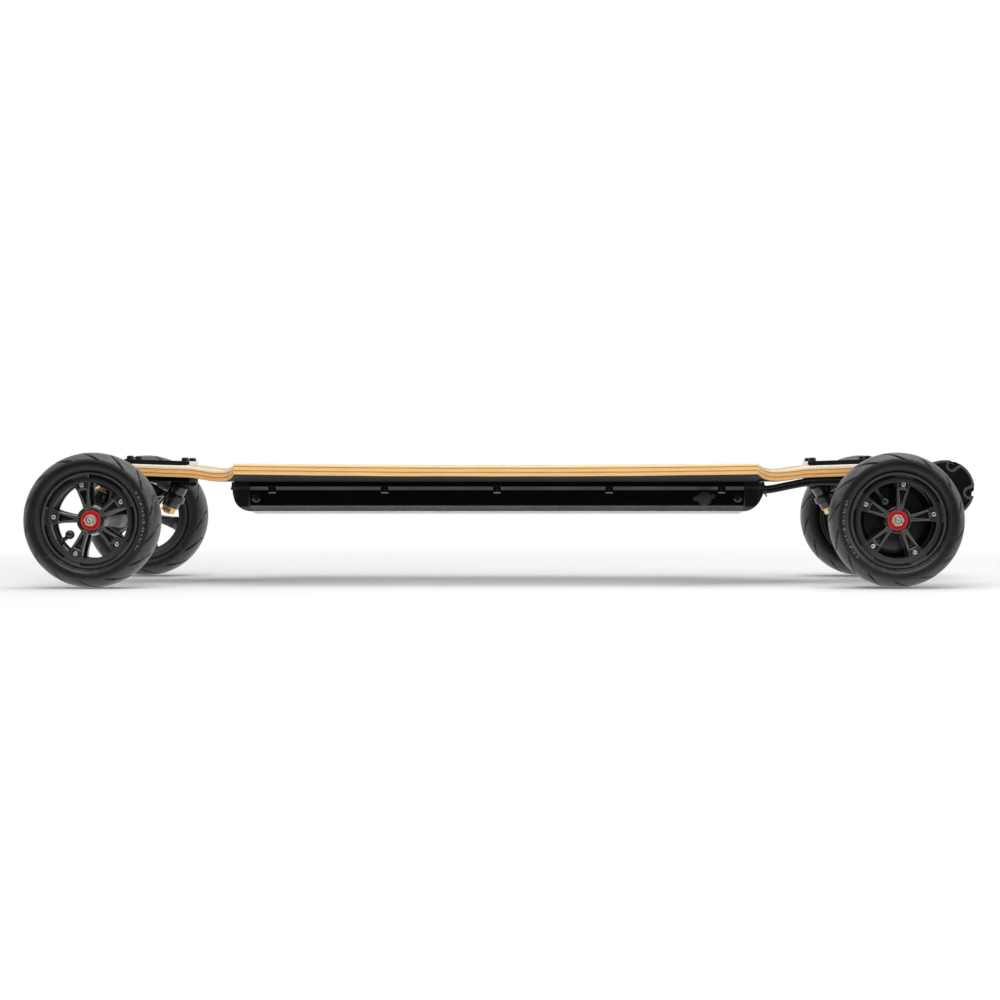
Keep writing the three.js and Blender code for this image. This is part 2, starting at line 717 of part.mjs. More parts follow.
function hanger(driven) {
  const half_axle = [[0, axle_end], [axle_thread_radius, axle_end],
    [axle_thread_radius, wheel_track / 2 + bearing_face], [axle_radius, wheel_track / 2 + bearing_face],
    [axle_radius, spindle_end], [spindle_radius, spindle_end], [spindle_radius, hanger_tube_end],
    [hanger_tube_end_radius, hanger_tube_end], [hanger_tube_radius, hanger_block_half_width]];
  const axle = turned([...half_axle, ...half_axle.map(([radius, y]) => [radius, -y]).reverse()], hub_facets);
  axle.translate(axle_from_plate, 0, axle_height);
  const seat_edge = kingpin_seat_radius + running_gap;
  const outline = [[-seat_edge, -kingpin_seat], [seat_edge, -kingpin_seat], [ring_radius + cut_overrun, -saddle_clearance],
    [cup_end, -saddle_clearance], [cup_end, -hanger_toe_depth], [cup_start, -hanger_toe_depth - fit_gap * 10],
    [arm_start, -hanger_block_depth], [-seat_edge, -hanger_block_depth]].map(stagePoint);
  const middle = secondStage(slabAlongY(outline, -hanger_block_half_width, hanger_block_half_width));
  const channel = [[ring_radius + fit_gap, -saddle_clearance], [cup_start - fit_gap, -saddle_clearance],
    [cup_start - fit_gap, cup_start], [ring_radius + fit_gap, cup_start]].map(stagePoint);
  const saddle = secondStage(slabAlongY(channel, -saddle_half_width, saddle_half_width));
  const bodies = [axle, middle];
  if (driven) {
    const outline_mount = wrapped(axle_point, mount_axle_radius, motor_point, mount_motor_radius, hub_facets);
    const inner = mount_outer - mount_thickness;
    bodies.push(slabAlongY(outline_mount, inner, mount_outer), slabAlongY(outline_mount, -mount_outer, -inner));
  }
  const cutters = [saddle, secondStage(stageCupBore()), secondStage(stagePinBore())];
  const shaft_hole = rod(mount_hole_radius, -mount_outer - cut_overrun, mount_outer + cut_overrun, hub_facets);
  if (driven) cutters.push(shaft_hole.translate(motor_point[0], 0, motor_point[1]));
  return cut(join(cut(join(...bodies), cutters[0]), secondStage(stageCup())), ...cutters.slice(1));
}

// Wheel frame: Y is the axle, outside is -Y, the middle of the tyre is at zero.
function tyre() {
  const radius = wheel_diameter / 2;
  const outer = acrossFlats(radius, tyre_facets);
  const half = tyre_width / 2;
  const side = [[outer, tyre_crown_width / 2], [outer - tyre_shoulder_drop, tyre_shoulder_width / 2],
    [outer - tyre_side_drop, tyre_side_width / 2], [tyre_bulge_radius, half],
    [tyre_toe_radius, tyre_bead_outer],
    [rim_seat_radius + fit_gap, tyre_bead_outer], [rim_seat_radius + fit_gap, tyre_bead_inner],
    [tyre_bulge_radius, half - tyre_wall], [outer - tyre_wall, tyre_crown_width / 2]];
  return turned([...side, ...side.map(([r, y]) => [r, -y]).reverse()], tyre_facets);
}

function around(count, phase, make) {
  const list = [];
  for (let i = 0; i < count; i += 1) list.push(make().rotateY(-(phase + (i * 2 * half_turn) / count)));
  return list;
}

function rimHalf(phase, outside) {
  const face = outside ? -rim_face : rim_face;
  const split = outside ? -fit_gap / 2 : fit_gap / 2;
  const inward = outside ? 1 : -1;
  const flange_back = face + inward * rim_flange_thickness;
  const ring_back = face + inward * rim_ring_depth;
  const barrel = turned([[rim_flange_radius, face], [rim_flange_radius, flange_back],
    [rim_seat_radius, flange_back], [rim_seat_radius, split], [rim_seat_radius - rim_barrel_wall, split],
    [rim_seat_radius - rim_barrel_wall, ring_back], [rim_ring_radius, ring_back], [rim_ring_radius, face]],
  tyre_facets);
  const hub_front = outside ? -hub_face : hub_face;
  const hub_points = [[hub_radius, hub_front], [hub_radius, split], [hub_bore_radius, split]];
  if (outside) {
    const shelf = -bearing_face + bearing_width + fit_gap;
    hub_points.push([hub_bore_radius, shelf], [bearing_radius + fit_gap, shelf]);
    hub_points.push([bearing_radius + fit_gap, hub_front]);
  } else {
    hub_points.push([hub_bore_radius, hub_front]);
  }
  const front = outside ? -spoke_front : spoke_front - spoke_depth;
  const hole = [[spoke_hole_start, -spoke_hole_start_half_width], [spoke_hole_end, -spoke_hole_end_half_width],
    [spoke_hole_end, spoke_hole_end_half_width], [spoke_hole_start, spoke_hole_start_half_width]];
  const spoke = () => slabAlongY([[spoke_root_radius, -spoke_root_half_width],
    [spoke_tip_radius, -spoke_tip_half_width], [spoke_tip_radius, spoke_tip_half_width],
    [spoke_root_radius, spoke_root_half_width]], front, front + spoke_depth, outside ? [hole] : []);
  const spokes = around(spoke_count, phase, spoke);
  const body = join(barrel, turned(hub_points, hub_facets), ...spokes);
  if (!outside) return body;
  const pocket = () => rod(rim_screw_pocket_radius, face - cut_overrun, face + rim_screw_pocket_depth,
    pin_facets).translate(rim_screw_circle, 0, 0);
  return cut(body, ...around(spoke_count, phase, pocket));
}

function bearing() {
  const bore = acrossFlats(axle_radius + fit_gap, hub_facets);
  return tube(bearing_radius, bore, -bearing_face, -bearing_face + bearing_width, hub_facets);
}

function axleNut() {
  const bore = acrossFlats(axle_thread_radius + fit_gap, pin_facets);
  const from = -bearing_face - fit_gap - axle_nut_length;
  const nut = rod(acrossFlats(axle_nut_width / 2, 6), from, -bearing_face - fit_gap, 6);
  return cut(nut, rod(bore, from - cut_overrun, cut_overrun, pin_facets));
}

function wheelPulley() {
  const middle = wheel_track / 2;
  const web = middle - pulley_outer_side + wheel_pulley_web;
  return turned([[hub_bore_radius, rim_face + fit_gap], [wheel_pulley_boss_radius, rim_face + fit_gap],
    [wheel_pulley_boss_radius, middle - pulley_outer_side], [wheel_pulley_radius, middle - pulley_outer_side],
    [wheel_pulley_radius, middle - pulley_inner_side],
    [wheel_pulley_radius - wheel_pulley_rim, middle - pulley_inner_side],
    [wheel_pulley_radius - wheel_pulley_rim, web], [hub_bore_radius, web]], tyre_facets);
}

function addWheel(name, truck, side, driven) {
  const wheel = new THREE.Group();
  wheel.position.set(axle_from_plate, (side * wheel_track) / 2, axle_height);
  if (side > 0) wheel.rotation.z = half_turn;
  truck.add(wheel);
  const phase = THREE.MathUtils.degToRad(screw_phases[name]);
  piece(`${name}_tyre`, tyre(), wheel, rubber, 0.8, 0);
  piece(`${name}_rim_outer_half`, rimHalf(phase, true), wheel, cast_black, 0.5, 0.3);
  piece(`${name}_rim_inner_half`, rimHalf(phase, false), wheel, cast_black, 0.5, 0.3);
  piece(`${name}_bearing`, bearing(), wheel, seal_red, 0.4, 0.2);
  piece(`${name}_axle_nut`, axleNut(), wheel, steel, 0.3, 0.9);
  if (driven) piece(`${name}_wheel_pulley`, wheelPulley(), wheel, cast_black, 0.45, 0.4);
}

// A slab between two distances from the middle of the board, on one side of it.
function sideSlab(points, side, inner, outer, holes = []) {
  return slabAlongY(points, Math.min(side * inner, side * outer), Math.max(side * inner, side * outer), holes);
}

function sideRod(radius, side, inner, outer) {
  return rod(radius, Math.min(side * inner, side * outer), Math.max(side * inner, side * outer), pin_facets);
}

function beltCover(side) {
  const inner = mount_outer + fit_gap;
  const outline = wrapped(axle_point, cover_wheel_radius, motor_point, cover_motor_radius, tyre_facets);
  const hollow = wrapped(axle_point, cover_wheel_radius - cover_wall, motor_point, cover_motor_radius - cover_wall,
    tyre_facets);
  const shell = cut(sideSlab(outline, side, inner, cover_face),
    sideSlab(hollow, side, inner - cut_overrun, cover_face - cover_face_thickness));
  // Two pillars stand the cover off the motor plate, inside and outside the belt's small end.
  const reach_x = motor_behind_axle / Math.hypot(motor_behind_axle, motor_above_axle);
  const reach_z = motor_above_axle / Math.hypot(motor_behind_axle, motor_above_axle);
  const inside = motor_pulley_radius + running_gap + cover_pillar_radius + running_gap;
  const outside = inside + belt_thickness + running_gap;
  const pillars = [-inside, outside].map((away) => sideRod(cover_pillar_radius, side, inner,
    cover_face - cover_face_thickness / 2).translate(motor_point[0] + away * reach_x, 0,
    motor_point[1] + away * reach_z));
  const reach = cover_face + cut_overrun;
  const hole = rod(cover_hole_radius, -reach, reach, tyre_facets).translate(axle_from_plate, 0, axle_height);
  const scallops = cover_scallop_angles.flatMap((degrees) => cover_scallop_circles.map((circle) => {
    const angle = THREE.MathUtils.degToRad(degrees);
    const from = cover_face - cover_face_thickness * 2;
    const cutter = rod(cover_scallop_radius, side < 0 ? -reach : from, side < 0 ? -from : reach, pin_facets);
    return cutter.translate(motor_point[0] + circle * Math.cos(angle), 0,
      motor_point[1] + circle * Math.sin(angle));
  }));
  return join(cut(shell, hole, ...scallops), ...pillars);
}

function belt(side) {
  const inner_wheel = wheel_pulley_radius + fit_gap;
  const inner_motor = motor_pulley_radius + fit_gap;
  const hole = wrapped(axle_point, inner_wheel, motor_point, inner_motor, tyre_facets);
  const outline = wrapped(axle_point, inner_wheel + belt_thickness, motor_point, inner_motor + belt_thickness,
    tyre_facets);
  return sideSlab(outline, side, pulley_inner_side + belt_side_gap, pulley_outer_side - belt_side_gap, [hole]);
}

function addDrive(name, truck, side) {
  const face = mount_outer - mount_thickness - fit_gap;
  const back = face - motor_length;
  const can = turned([[0, back], [motor_radius - motor_edge, back], [motor_radius, back + motor_edge],
    [motor_radius, face - motor_edge], [motor_radius - motor_edge, face], [0, face]], hub_facets + 8);
  const small = turned([[0, face + fit_gap], [motor_shaft_radius, face + fit_gap],
    [motor_shaft_radius, pulley_inner_side], [motor_pulley_radius, pulley_inner_side],
    [motor_pulley_radius, pulley_outer_side], [0, pulley_outer_side]], hub_facets);
  const turn = side < 0 ? half_turn : 0;
  const place = (geometry) => geometry.rotateZ(turn).translate(motor_point[0], 0, motor_point[1]);
  piece(`${name}_motor`, place(can), truck, cast_black, 0.4, 0.5);
  piece(`${name}_motor_pulley`, place(small), truck, steel, 0.4, 0.8);
  piece(`${name}_drive_belt`, belt(side), truck, urethane, 0.8, 0);
  piece(`${name}_belt_cover`, beltCover(side), truck, cast_black, 0.5, 0.1);
}

function addTruck(name, end) {
  const truck = new THREE.Group();
  truck.position.x = end * plate_place;
  if (end < 0) truck.rotation.z = half_turn;
  model.add(truck);
  const driven = end > 0;
  piece(`${name}_top_plate`, topPlate(), truck, cast_black, 0.5, 0.4);
  piece(`${name}_base_plate`, basePlate(), truck, cast_black, 0.5, 0.4);
  piece(`${name}_inner_kingpin`, kingpin(), truck, gold, 0.3, 0.9);
  piece(`${name}_inner_upper_bushing`, upperBushing(), truck, urethane, 0.5, 0);
  piece(`${name}_inner_lower_bushing`, lowerBushing(), truck, urethane, 0.5, 0);
  piece(`${name}_carriage`, carriage(), truck, cast_black, 0.45, 0.5);
  piece(`${name}_outer_kingpin`, secondStage(kingpin()), truck, gold, 0.3, 0.9);
  piece(`${name}_outer_upper_bushing`, secondStage(lowerBushing()), truck, urethane, 0.5, 0);
  piece(`${name}_outer_lower_bushing`, secondStage(upperBushing()), truck, urethane, 0.5, 0);
  piece(`${name}_hanger`, hanger(driven), truck, cast_black, 0.45, 0.5);
  for (const [hand, left_side] of [["left", true], ["right", false]]) {
    const side = (left_side ? -1 : 1) * end;
    addWheel(`${name}_${hand}`, truck, side, driven);
    if (driven) addDrive(`${name}_${hand}`, truck, side);
  }
}

addTruck("front", -1);
addTruck("rear", 1);

export default board;
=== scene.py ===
import math

import bpy
import numpy as np
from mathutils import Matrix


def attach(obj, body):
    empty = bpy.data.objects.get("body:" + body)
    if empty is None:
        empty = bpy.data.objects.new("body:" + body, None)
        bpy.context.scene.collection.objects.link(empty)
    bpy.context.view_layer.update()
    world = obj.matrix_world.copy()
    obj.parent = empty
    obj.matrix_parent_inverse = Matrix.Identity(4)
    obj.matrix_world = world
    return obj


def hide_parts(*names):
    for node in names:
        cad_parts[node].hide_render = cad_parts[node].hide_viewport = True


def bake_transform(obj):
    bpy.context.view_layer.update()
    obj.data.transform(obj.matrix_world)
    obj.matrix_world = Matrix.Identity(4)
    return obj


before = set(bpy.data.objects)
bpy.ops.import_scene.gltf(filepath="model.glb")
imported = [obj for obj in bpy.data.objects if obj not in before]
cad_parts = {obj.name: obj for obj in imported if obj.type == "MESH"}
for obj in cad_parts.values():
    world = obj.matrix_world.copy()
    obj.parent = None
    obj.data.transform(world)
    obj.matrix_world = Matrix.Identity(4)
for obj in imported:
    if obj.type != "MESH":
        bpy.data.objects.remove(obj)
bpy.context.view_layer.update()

# Sizes are in millimetres, mostly the same values as the solid model has. Corners become metres in piece().
# A truck's own frame has X out towards its end of the board, from the middle of its plate.
MM = 0.001
BOARD_SHIFT = -9.75
PLATE_PLACE = 465.0
AXLE = (55.0, 87.5)
MOTOR = (124.0, 127.5)
TRACK_HALF = 160.0
KINGPIN_ANGLE = math.radians(25)
KINGPIN_CROSS = (-16.6, 115.0)
CARRIAGE_CENTRE = (34.7, 113.5)
PLATE_HALF, PLATE_RISE, BASE_DROP = 44.5, 6.5, 6.3

DECK_CENTRE = 137.0
DECK_THICKNESS = 16.0
PLATFORM_END, NECK_START, CURVE_END, CORNER_START, DECK_END = 345, 371, 420, 504, 538
FLANK, CORNER = NECK_START - PLATFORM_END, DECK_END - CORNER_START
NECK_SLOPE = math.tan(math.radians(2))

CASE_TOP = 136.7
CASE_BOTTOM = 97.5
CAP_START = 329.3
POCKET_PITCH = 149.7
POCKETS_END = 305
END_SCREW, SOCKET, SIDE_MIDDLE = 321, 276.5, 115
CABLE_START, CABLE_Y, CABLE_Z = 352.6, -42, 127

RIM_SCREWS = 46.5
TREAD_RADIUS, GROOVES = 84, 14


# ---------------------------------------------------------------- camera
def make_camera():
    """The photograph's view: square on to the board's left side, a little above the deck's underside."""
    data = bpy.data.cameras.new("view")
    data.sensor_width = 36
    data.lens = 70.2
    data.shift_x = -0.0793
    data.shift_y = -0.022
    data.clip_end = 60
    camera = bpy.data.objects.new("view", data)
    bpy.context.scene.collection.objects.link(camera)
    camera.location = (0.100, -2.684, 0.142)
    camera.rotation_euler = (math.pi / 2, 0, 0)
    bpy.context.scene.camera = camera


make_camera()


# ---------------------------------------------------------------- numbers
def ramp(value, start, run):
    """0 to 1 in a straight line, (value - start) / run, held at both ends. A negative run goes back."""
    return np.clip((value - start) / run, 0, 1)


def smooth_share(share):
    """0 to 1 with no kink at either end: 3 s^2 - 2 s^3."""
    share = np.clip(share, 0, 1)
    return share * share * (3 - 2 * share)


def eased(value, start, run):
    """A ramp with no kink at either end."""
    return smooth_share((value - start) / run)


def band(value, low, high):
    """1 between two places and 0 outside them, eased over 0.4 mm."""
    return eased(value, low, 0.4) * eased(value, high, -0.4)


def spot(centre, reach, degrees):
    """The place at that distance and angle from a centre."""
    angle = math.radians(degrees)
    return centre[0] + reach * math.cos(angle), centre[1] + reach * math.sin(angle)


def full_turn(count):
    """Angles of one turn, evenly spread."""
    return np.linspace(0, 2 * math.pi, count, endpoint=False)


def about_y(r, y, a):
    """Points (r cos a, y, r sin a)."""
    return np.stack(np.broadcast_arrays(r * np.cos(a), y, r * np.sin(a)), -1)


def stacked(rows):
    """Loops of (x, z) corners, each with its place on Y, as rows of points."""
    return np.array([np.stack([loop[:, 0], np.full(len(loop), y), loop[:, 1]], 1) for loop, y in rows])


# ---------------------------------------------------------------- surfaces from arrays
def outward(points, faces, marks=None):
    """A closed shell whose faces point out: where the volume that its corners span comes out negative, every face is
    reversed."""
    middle = points.mean(0)
    volume = 0.0
    for group in faces:
        corner = points[group] - middle
        first = np.broadcast_to(corner[:, :1], corner[:, 1:-1].shape)
        volume += (first * np.cross(corner[:, 1:-1], corner[:, 2:])).sum()
    faces = [group[:, ::-1] if volume < 0 else group for group in faces]
    return points, faces, marks or {}


def shell(points, wrap=False, marks=None):
    """Rows of closed loops joined by four-sided faces. The first and last rows are closed by one face each, or joined
    to each other with wrap."""
    rows, count = points.shape[:2]
    index = np.arange(rows * count).reshape(rows, count)
    along = np.vstack([index, index[:1]]) if wrap else index
    ring = np.hstack([along, along[:, :1]])
    corners = [ring[:-1, :-1], ring[:-1, 1:], ring[1:, 1:], ring[1:, :-1]]
    faces = [np.stack(corners, -1).reshape(-1, 4)]
    if not wrap:
        faces += [index[:1, ::-1], index[-1:]]
    flat = {name: np.broadcast_to(value, (rows, count)).reshape(-1) for name, value in (marks or {}).items()}
    return outward(points.reshape(-1, 3), faces, flat)


def placed(shells, ex, ey, ez, origin):
    """Turns and moves shells: a corner (x, y, z) goes to origin + x ex + y ey + z ez."""
    basis = np.array([ex, ey, ez], float)
    return [(points @ basis + np.array(origin, float), faces, marks) for points, faces, marks in shells]


def shifted(shells, dx=0.0, dy=0.0, dz=0.0):
    """Moves shells along the three axes."""
    return [(points + np.array([dx, dy, dz], float), faces, marks) for points, faces, marks in shells]


def rounded(outline, distance, steps=3, closed=True):
    """Each corner p becomes the curve (1-t)^2 a + 2t(1-t) p + t^2 b, with a and b at that distance before and
    after p."""
    p = np.array(outline, float)
    before, after = np.roll(p, 1, 0) - p, np.roll(p, -1, 0) - p
    reach = np.broadcast_to(np.array(distance, float), (len(p),))[:, None]
    length_before = np.maximum(np.linalg.norm(before, axis=1, keepdims=True), 1e-9)
    length_after = np.maximum(np.linalg.norm(after, axis=1, keepdims=True), 1e-9)
    a = p + before * np.minimum(reach / length_before, 0.45)
    b = p + after * np.minimum(reach / length_after, 0.45)
    t = np.linspace(0, 1, steps + 1)[None, :, None]
    curve = (1 - t) ** 2 * a[:, None] + 2 * t * (1 - t) * p[:, None] + t * t * b[:, None]
    if closed:
        return curve.reshape(-1, 2)
    return np.vstack([p[:1], curve[1:-1].reshape(-1, 2), p[-1:]])


def inset(outline, amount):
    """Every corner of a closed outline moved inwards along its mitre, so that each side moves by that amount."""
    p = np.array(outline, float)
    side = np.roll(p, -1, 0) - p
    side /= np.maximum(np.linalg.norm(side, axis=1, keepdims=True), 1e-9)
    area = (p[:, 0] * np.roll(p[:, 1], -1) - np.roll(p[:, 0], -1) * p[:, 1]).sum()
    normal = np.stack([-side[:, 1], side[:, 0]], 1) * np.sign(area)
    mitre = normal + np.roll(normal, 1, 0)
    mitre /= np.maximum(np.linalg.norm(mitre, axis=1, keepdims=True), 1e-9)
    stretch = np.maximum((mitre * normal).sum(1, keepdims=True), 0.5)
    return p + mitre * (amount / stretch)


def rim_rows(outline, low, high, edge, steps):
    """Loops that climb a wall whose two rims are rounded: inset edge (1 - sin t) at height edge (1 - cos t)."""
    t = np.linspace(0, math.pi / 2, steps + 1)
    inward, climb = abs(edge) * (1 - np.sin(t)), abs(edge) * (1 - np.cos(t))
    way = 1 if edge >= 0 else -1
    rows = [(inset(outline, way * i), low + c) for i, c in zip(inward, climb)]
    rows += [(inset(outline, way * i), high - c) for i, c in zip(inward[::-1], climb[::-1])]
    return stacked(rows)


def slab(outline, low, high, edge=0.6, steps=2):
    """An outline of (x, z) corners made solid between two places on Y, with rounded rims."""
    return shell(rim_rows(outline, low, high, edge, steps))


def pierced(outer, inner, low, high, edge=0.5, steps=2, painted_rim_light=0.0):
    """A slab with one hole: the outer wall's loops, then the hole's loops on the way back. The lower face's rims get
    a painted highlight, at the share given last."""
    walls = [rim_rows(outer, low, high, edge, steps), rim_rows(inner, low, high, -edge, steps)[::-1]]
    rub = np.zeros((4 * (steps + 1), 1))
    rub[:steps + 1] = rub[-steps - 1:] = painted_rim_light
    return shell(np.concatenate(walls), wrap=True, marks={"rub": rub})


def slab_x(outline, low, high, edge=0.6, steps=2):
    """An outline of (y, z) corners made solid between two places on X."""
    return placed([slab(outline, low, high, edge, steps)], (0, 1, 0), (1, 0, 0), (0, 0, 1), (0, 0, 0))[0]


def reach_of(outline, centre, angles):
    """How far rays from a centre go, at those angles, before they leave a closed outline."""
    p = np.array(outline, float) - np.array(centre, float)
    e = np.roll(p, -1, 0) - p
    dx, dz = np.cos(angles)[:, None], np.sin(angles)[:, None]
    across = dx * e[:, 1] - dz * e[:, 0]
    across = np.where(np.abs(across) < 1e-9, 1e-9, across)
    t = (p[:, 0] * e[:, 1] - p[:, 1] * e[:, 0]) / across
    u = (p[:, 0] * dz - p[:, 1] * dx) / across
    return np.where((u > -1e-6) & (u < 1 + 1e-6) & (t > 0), t, 0).max(1)


def polar_loop(reach, centre, angles):
    """The loop centre + reach (cos a, sin a)."""
    return np.stack([centre[0] + reach * np.cos(angles), centre[1] + reach * np.sin(angles)], 1)


def circle(centre, radius, count):
    """A round loop of (x, z) corners."""
    return polar_loop(radius, centre, full_turn(count))


def turned(profile, count=64, ring=False, marks=None):
    """A profile of (radius, y) carried round the Y axis. ring joins its last point to its first."""
    r, y = np.array(profile, float).T[:, :, None]
    return shell(about_y(r, y, full_turn(count)), wrap=ring, marks=marks)


def hexed(width, low, high, bore, count=48):
    """A hexagon nut about Y: r = (width / 2) / cos(a mod 60 - 30), with its corners cut back by a cone at both
    faces and a bore with broken rims."""
    a = full_turn(count)
    flat = width / 2 / np.cos(np.mod(a, math.pi / 3) - math.pi / 6)
    back = (flat - width / 2) * 0.55
    rows = [(width / 2 * 0.97, low), (flat - 0.15, low + back), (flat, low + back + 0.25), (flat, high - back - 0.25),
            (flat - 0.15, high - back), (width / 2 * 0.97, high), (bore + 0.4, high), (bore, high - 0.4),
            (bore, low + 0.4), (bore + 0.4, low)]
    return shell(np.array([about_y(r, y, a) for r, y in rows]), wrap=True)


def socket_screw(radius, height, y, way, key):
    """A screw head that stands on y: a low dome with a hexagon socket sunk into it. way is the direction it faces
    along Y."""
    a = full_turn(30)
    hexagon = key / np.cos(np.mod(a, math.pi / 3) - math.pi / 6)
    dome = [(1, 0), (1, 0.5), (0.96, 0.7), (0.87, 0.86), (0.72, 0.96)]
    sunk = [(1.12, 1), (1, 0.95), (0.98, 0.35), (0.3, 0.3)]
    rows = [(radius * r, height * h) for r, h in dome] + [(hexagon * r, height * h) for r, h in sunk]
    return shell(np.array([about_y(r, y + way * h, a) for r, h in rows]))


def path_through(points, count):
    """A smooth path through given points: Catmull-Rom pieces, all worked out at once."""
    p = np.array(points, float)
    p = np.vstack([2 * p[0] - p[1], p, 2 * p[-1] - p[-2]])
    u = np.linspace(0, len(p) - 3, count)
    i = np.minimum(u.astype(int), len(p) - 4)
    t = (u - i)[:, None]
    a, b, c, d = p[i], p[i + 1], p[i + 2], p[i + 3]
    return 0.5 * (2 * b + (c - a) * t + (2 * a - 5 * b + 4 * c - d) * t ** 2 + (3 * b - a - 3 * c + d) * t ** 3)


def tube(path, radius, count, side=(0, 1, 0)):
    """A circle carried along a path: path + radius (across cos a + up sin a), square on to the path's heading."""
    path = np.array(path, float)
    heading = np.gradient(path, axis=0)
    heading /= np.linalg.norm(heading, axis=1, keepdims=True)
    up = np.cross(heading, np.array(side, float))
    up /= np.linalg.norm(up, axis=1, keepdims=True)
    across = np.cross(up, heading)
    r = np.broadcast_to(np.array(radius, float), (len(path),))[:, None, None]
    a, up, across = full_turn(count)[None, :, None], up[:, None], across[:, None]
    points = path[:, None] + r * (across * np.cos(a) + up * np.sin(a))
    u = np.cumsum(np.r_[0, np.linalg.norm(np.diff(path, axis=0), axis=1)])
    return shell(points, marks={"run": u[:, None] / 10, "turn": a[:, :, 0] / (2 * math.pi)})


def piece(name, shells, body, slot, material, replaces=(), sharp=32):
    """Joins shells into one mesh object, in metres, that rides on a body; given more than a body's name, it is baked
    in place.
    """
    starts = np.cumsum([0] + [len(s[0]) for s in shells])
    points = np.concatenate([s[0] for s in shells]) * MM
    faces = [row for s, start in zip(shells, starts) for group in s[1] for row in (group + start).tolist()]
    mesh = bpy.data.meshes.new(name)
    mesh.from_pydata(points.tolist(), [], faces)
    mesh.polygons.foreach_set("use_smooth", np.ones(len(faces), bool))
    mesh.set_sharp_from_angle(angle=math.radians(sharp))
    for mark in sorted({key for s in shells for key in s[2]}):
        values = np.concatenate([s[2].get(mark, np.zeros(len(s[0]))) for s in shells])
        mesh.attributes.new(mark, "FLOAT", "POINT").data.foreach_set("value", values.astype(np.float32))
    mesh.materials.append(material)
    mesh.update()
    made = bpy.data.objects.new(name, mesh)
    bpy.context.scene.collection.objects.link(made)
    if isinstance(body, str):
        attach(made, body)
    else:
        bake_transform(made)
    if replaces:
        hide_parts(*replaces)


def putter(name, move):
    """What makes the pieces of one part of the board: it moves shells to their place and puts the part's name
    before the piece's and the node's."""
    def put(label, shells, body, slot, material, node_name=None, sharp=32):
        replaced = [f"{name}_{node_name}"] if node_name else ()
        piece(f"{name}_{label}", move(shells), body, slot, material, replaced, sharp)
    return put


# ---------------------------------------------------------------- node groups and materials
def new_group(name, inputs, outputs):
    """An empty shader group with named sockets. Each is (name, kind, value) or (name, kind)."""
    group = bpy.data.node_groups.new(name, "ShaderNodeTree")
    kinds = {"value": "NodeSocketFloat", "colour": "NodeSocketColor", "vector": "NodeSocketVector"}
    for spec in inputs:
        socket = group.interface.new_socket(name=spec[0], in_out="INPUT", socket_type=kinds[spec[1]])
        if len(spec) > 2:
            socket.default_value = spec[2]
    for spec in outputs:
        group.interface.new_socket(name=spec[0], in_out="OUTPUT", socket_type=kinds[spec[1]])
    return group, group.nodes.new("NodeGroupInput").outputs, group.nodes.new("NodeGroupOutput")


def fill(tree, made, values):
    """Sets a node's inputs, or links them where the value is another node's output."""
    for key, value in values.items():
        if isinstance(value, bpy.types.NodeSocket):
            tree.links.new(value, made.inputs[key])
        else:
            made.inputs[key].default_value = value
    return made.outputs


def node(tree, kind, values=None, **settings):
    """The outputs of a new node with its settings and inputs."""
    made = tree.nodes.new(kind)
    for key, value in settings.items():
        setattr(made, key, value)
    return fill(tree, made, values or {})


def blend_colour(tree, share, first, second, how="MIX"):
    """The colour first, going to second as share goes to 1."""
    return node(tree, "ShaderNodeMix", {0: share, 6: first, 7: second}, data_type="RGBA", blend_type=how)[2]


def mapped(tree, value, low, high, to_low=0.0, to_high=1.0):
    """A value taken from one span to another, held at its ends."""
    values = {"Value": value, "From Min": low, "From Max": high, "To Min": to_low, "To Max": to_high}
    return node(tree, "ShaderNodeMapRange", values)["Result"]


def maths(tree, how, first, second=0.0):
    """One step of arithmetic."""
    return node(tree, "ShaderNodeMath", {0: first, 1: second}, operation=how)[0]


def times(tree, first, second):
    """The product of two values."""
    return maths(tree, "MULTIPLY", first, second)


def plus(tree, first, second):
    """The sum of two values."""
    return maths(tree, "ADD", first, second)


def noise(tree, place, scale, detail, roughness=0.5):
    """A noise between 0 and 1 at a place."""
    values = {"Vector": place, "Scale": scale, "Detail": detail, "Roughness": roughness}
    return node(tree, "ShaderNodeTexNoise", values)[0]


def stretched(tree, place, scale, rotation=(0.0, 0.0, 0.0)):
    """A place turned and scaled along each axis, to draw a texture out."""
    return node(tree, "ShaderNodeMapping", {"Vector": place, "Rotation": rotation, "Scale": scale})[0]


def part_of(tree, vector, axis):
    """One of the three parts of a vector."""
    return node(tree, "ShaderNodeSeparateXYZ", {0: vector})[axis]


def build_finish_group():
    """Slow blotches of a second colour and a fine grain, for any moulded, cast or painted surface."""
    group, get, sink = new_group(
        "surface_finish",
        [("Place", "vector"), ("Colour", "colour", (0.1, 0.1, 0.1, 1)),
         ("Blotch colour", "colour", (0.2, 0.2, 0.2, 1)), ("Blotch share", "value", 0.3),
         ("Blotch scale", "value", 12.0), ("Grain scale", "value", 900.0),
         ("Roughness", "value", 0.5), ("Roughness spread", "value", 0.1)],
        [("Colour", "colour"), ("Roughness", "value"), ("Height", "value")])
    slow = noise(group, get["Place"], get["Blotch scale"], 4.0, 0.55)
    fine = noise(group, get["Place"], get["Grain scale"], 2.0, 0.6)
    share = times(group, mapped(group, slow, 0.42, 0.66), get["Blotch share"])
    tint = blend_colour(group, share, get["Colour"], get["Blotch colour"])
    grain = mapped(group, fine, 0.3, 0.7, 0.93, 1.05)
    tinted = node(group, "ShaderNodeVectorMath", {0: tint, "Scale": grain}, operation="SCALE")[0]
    swing = times(group, maths(group, "SUBTRACT", slow, 0.5), get["Roughness spread"])
    fill(group, sink, {"Colour": tinted, "Roughness": plus(group, get["Roughness"], swing), "Height": fine})
    return group


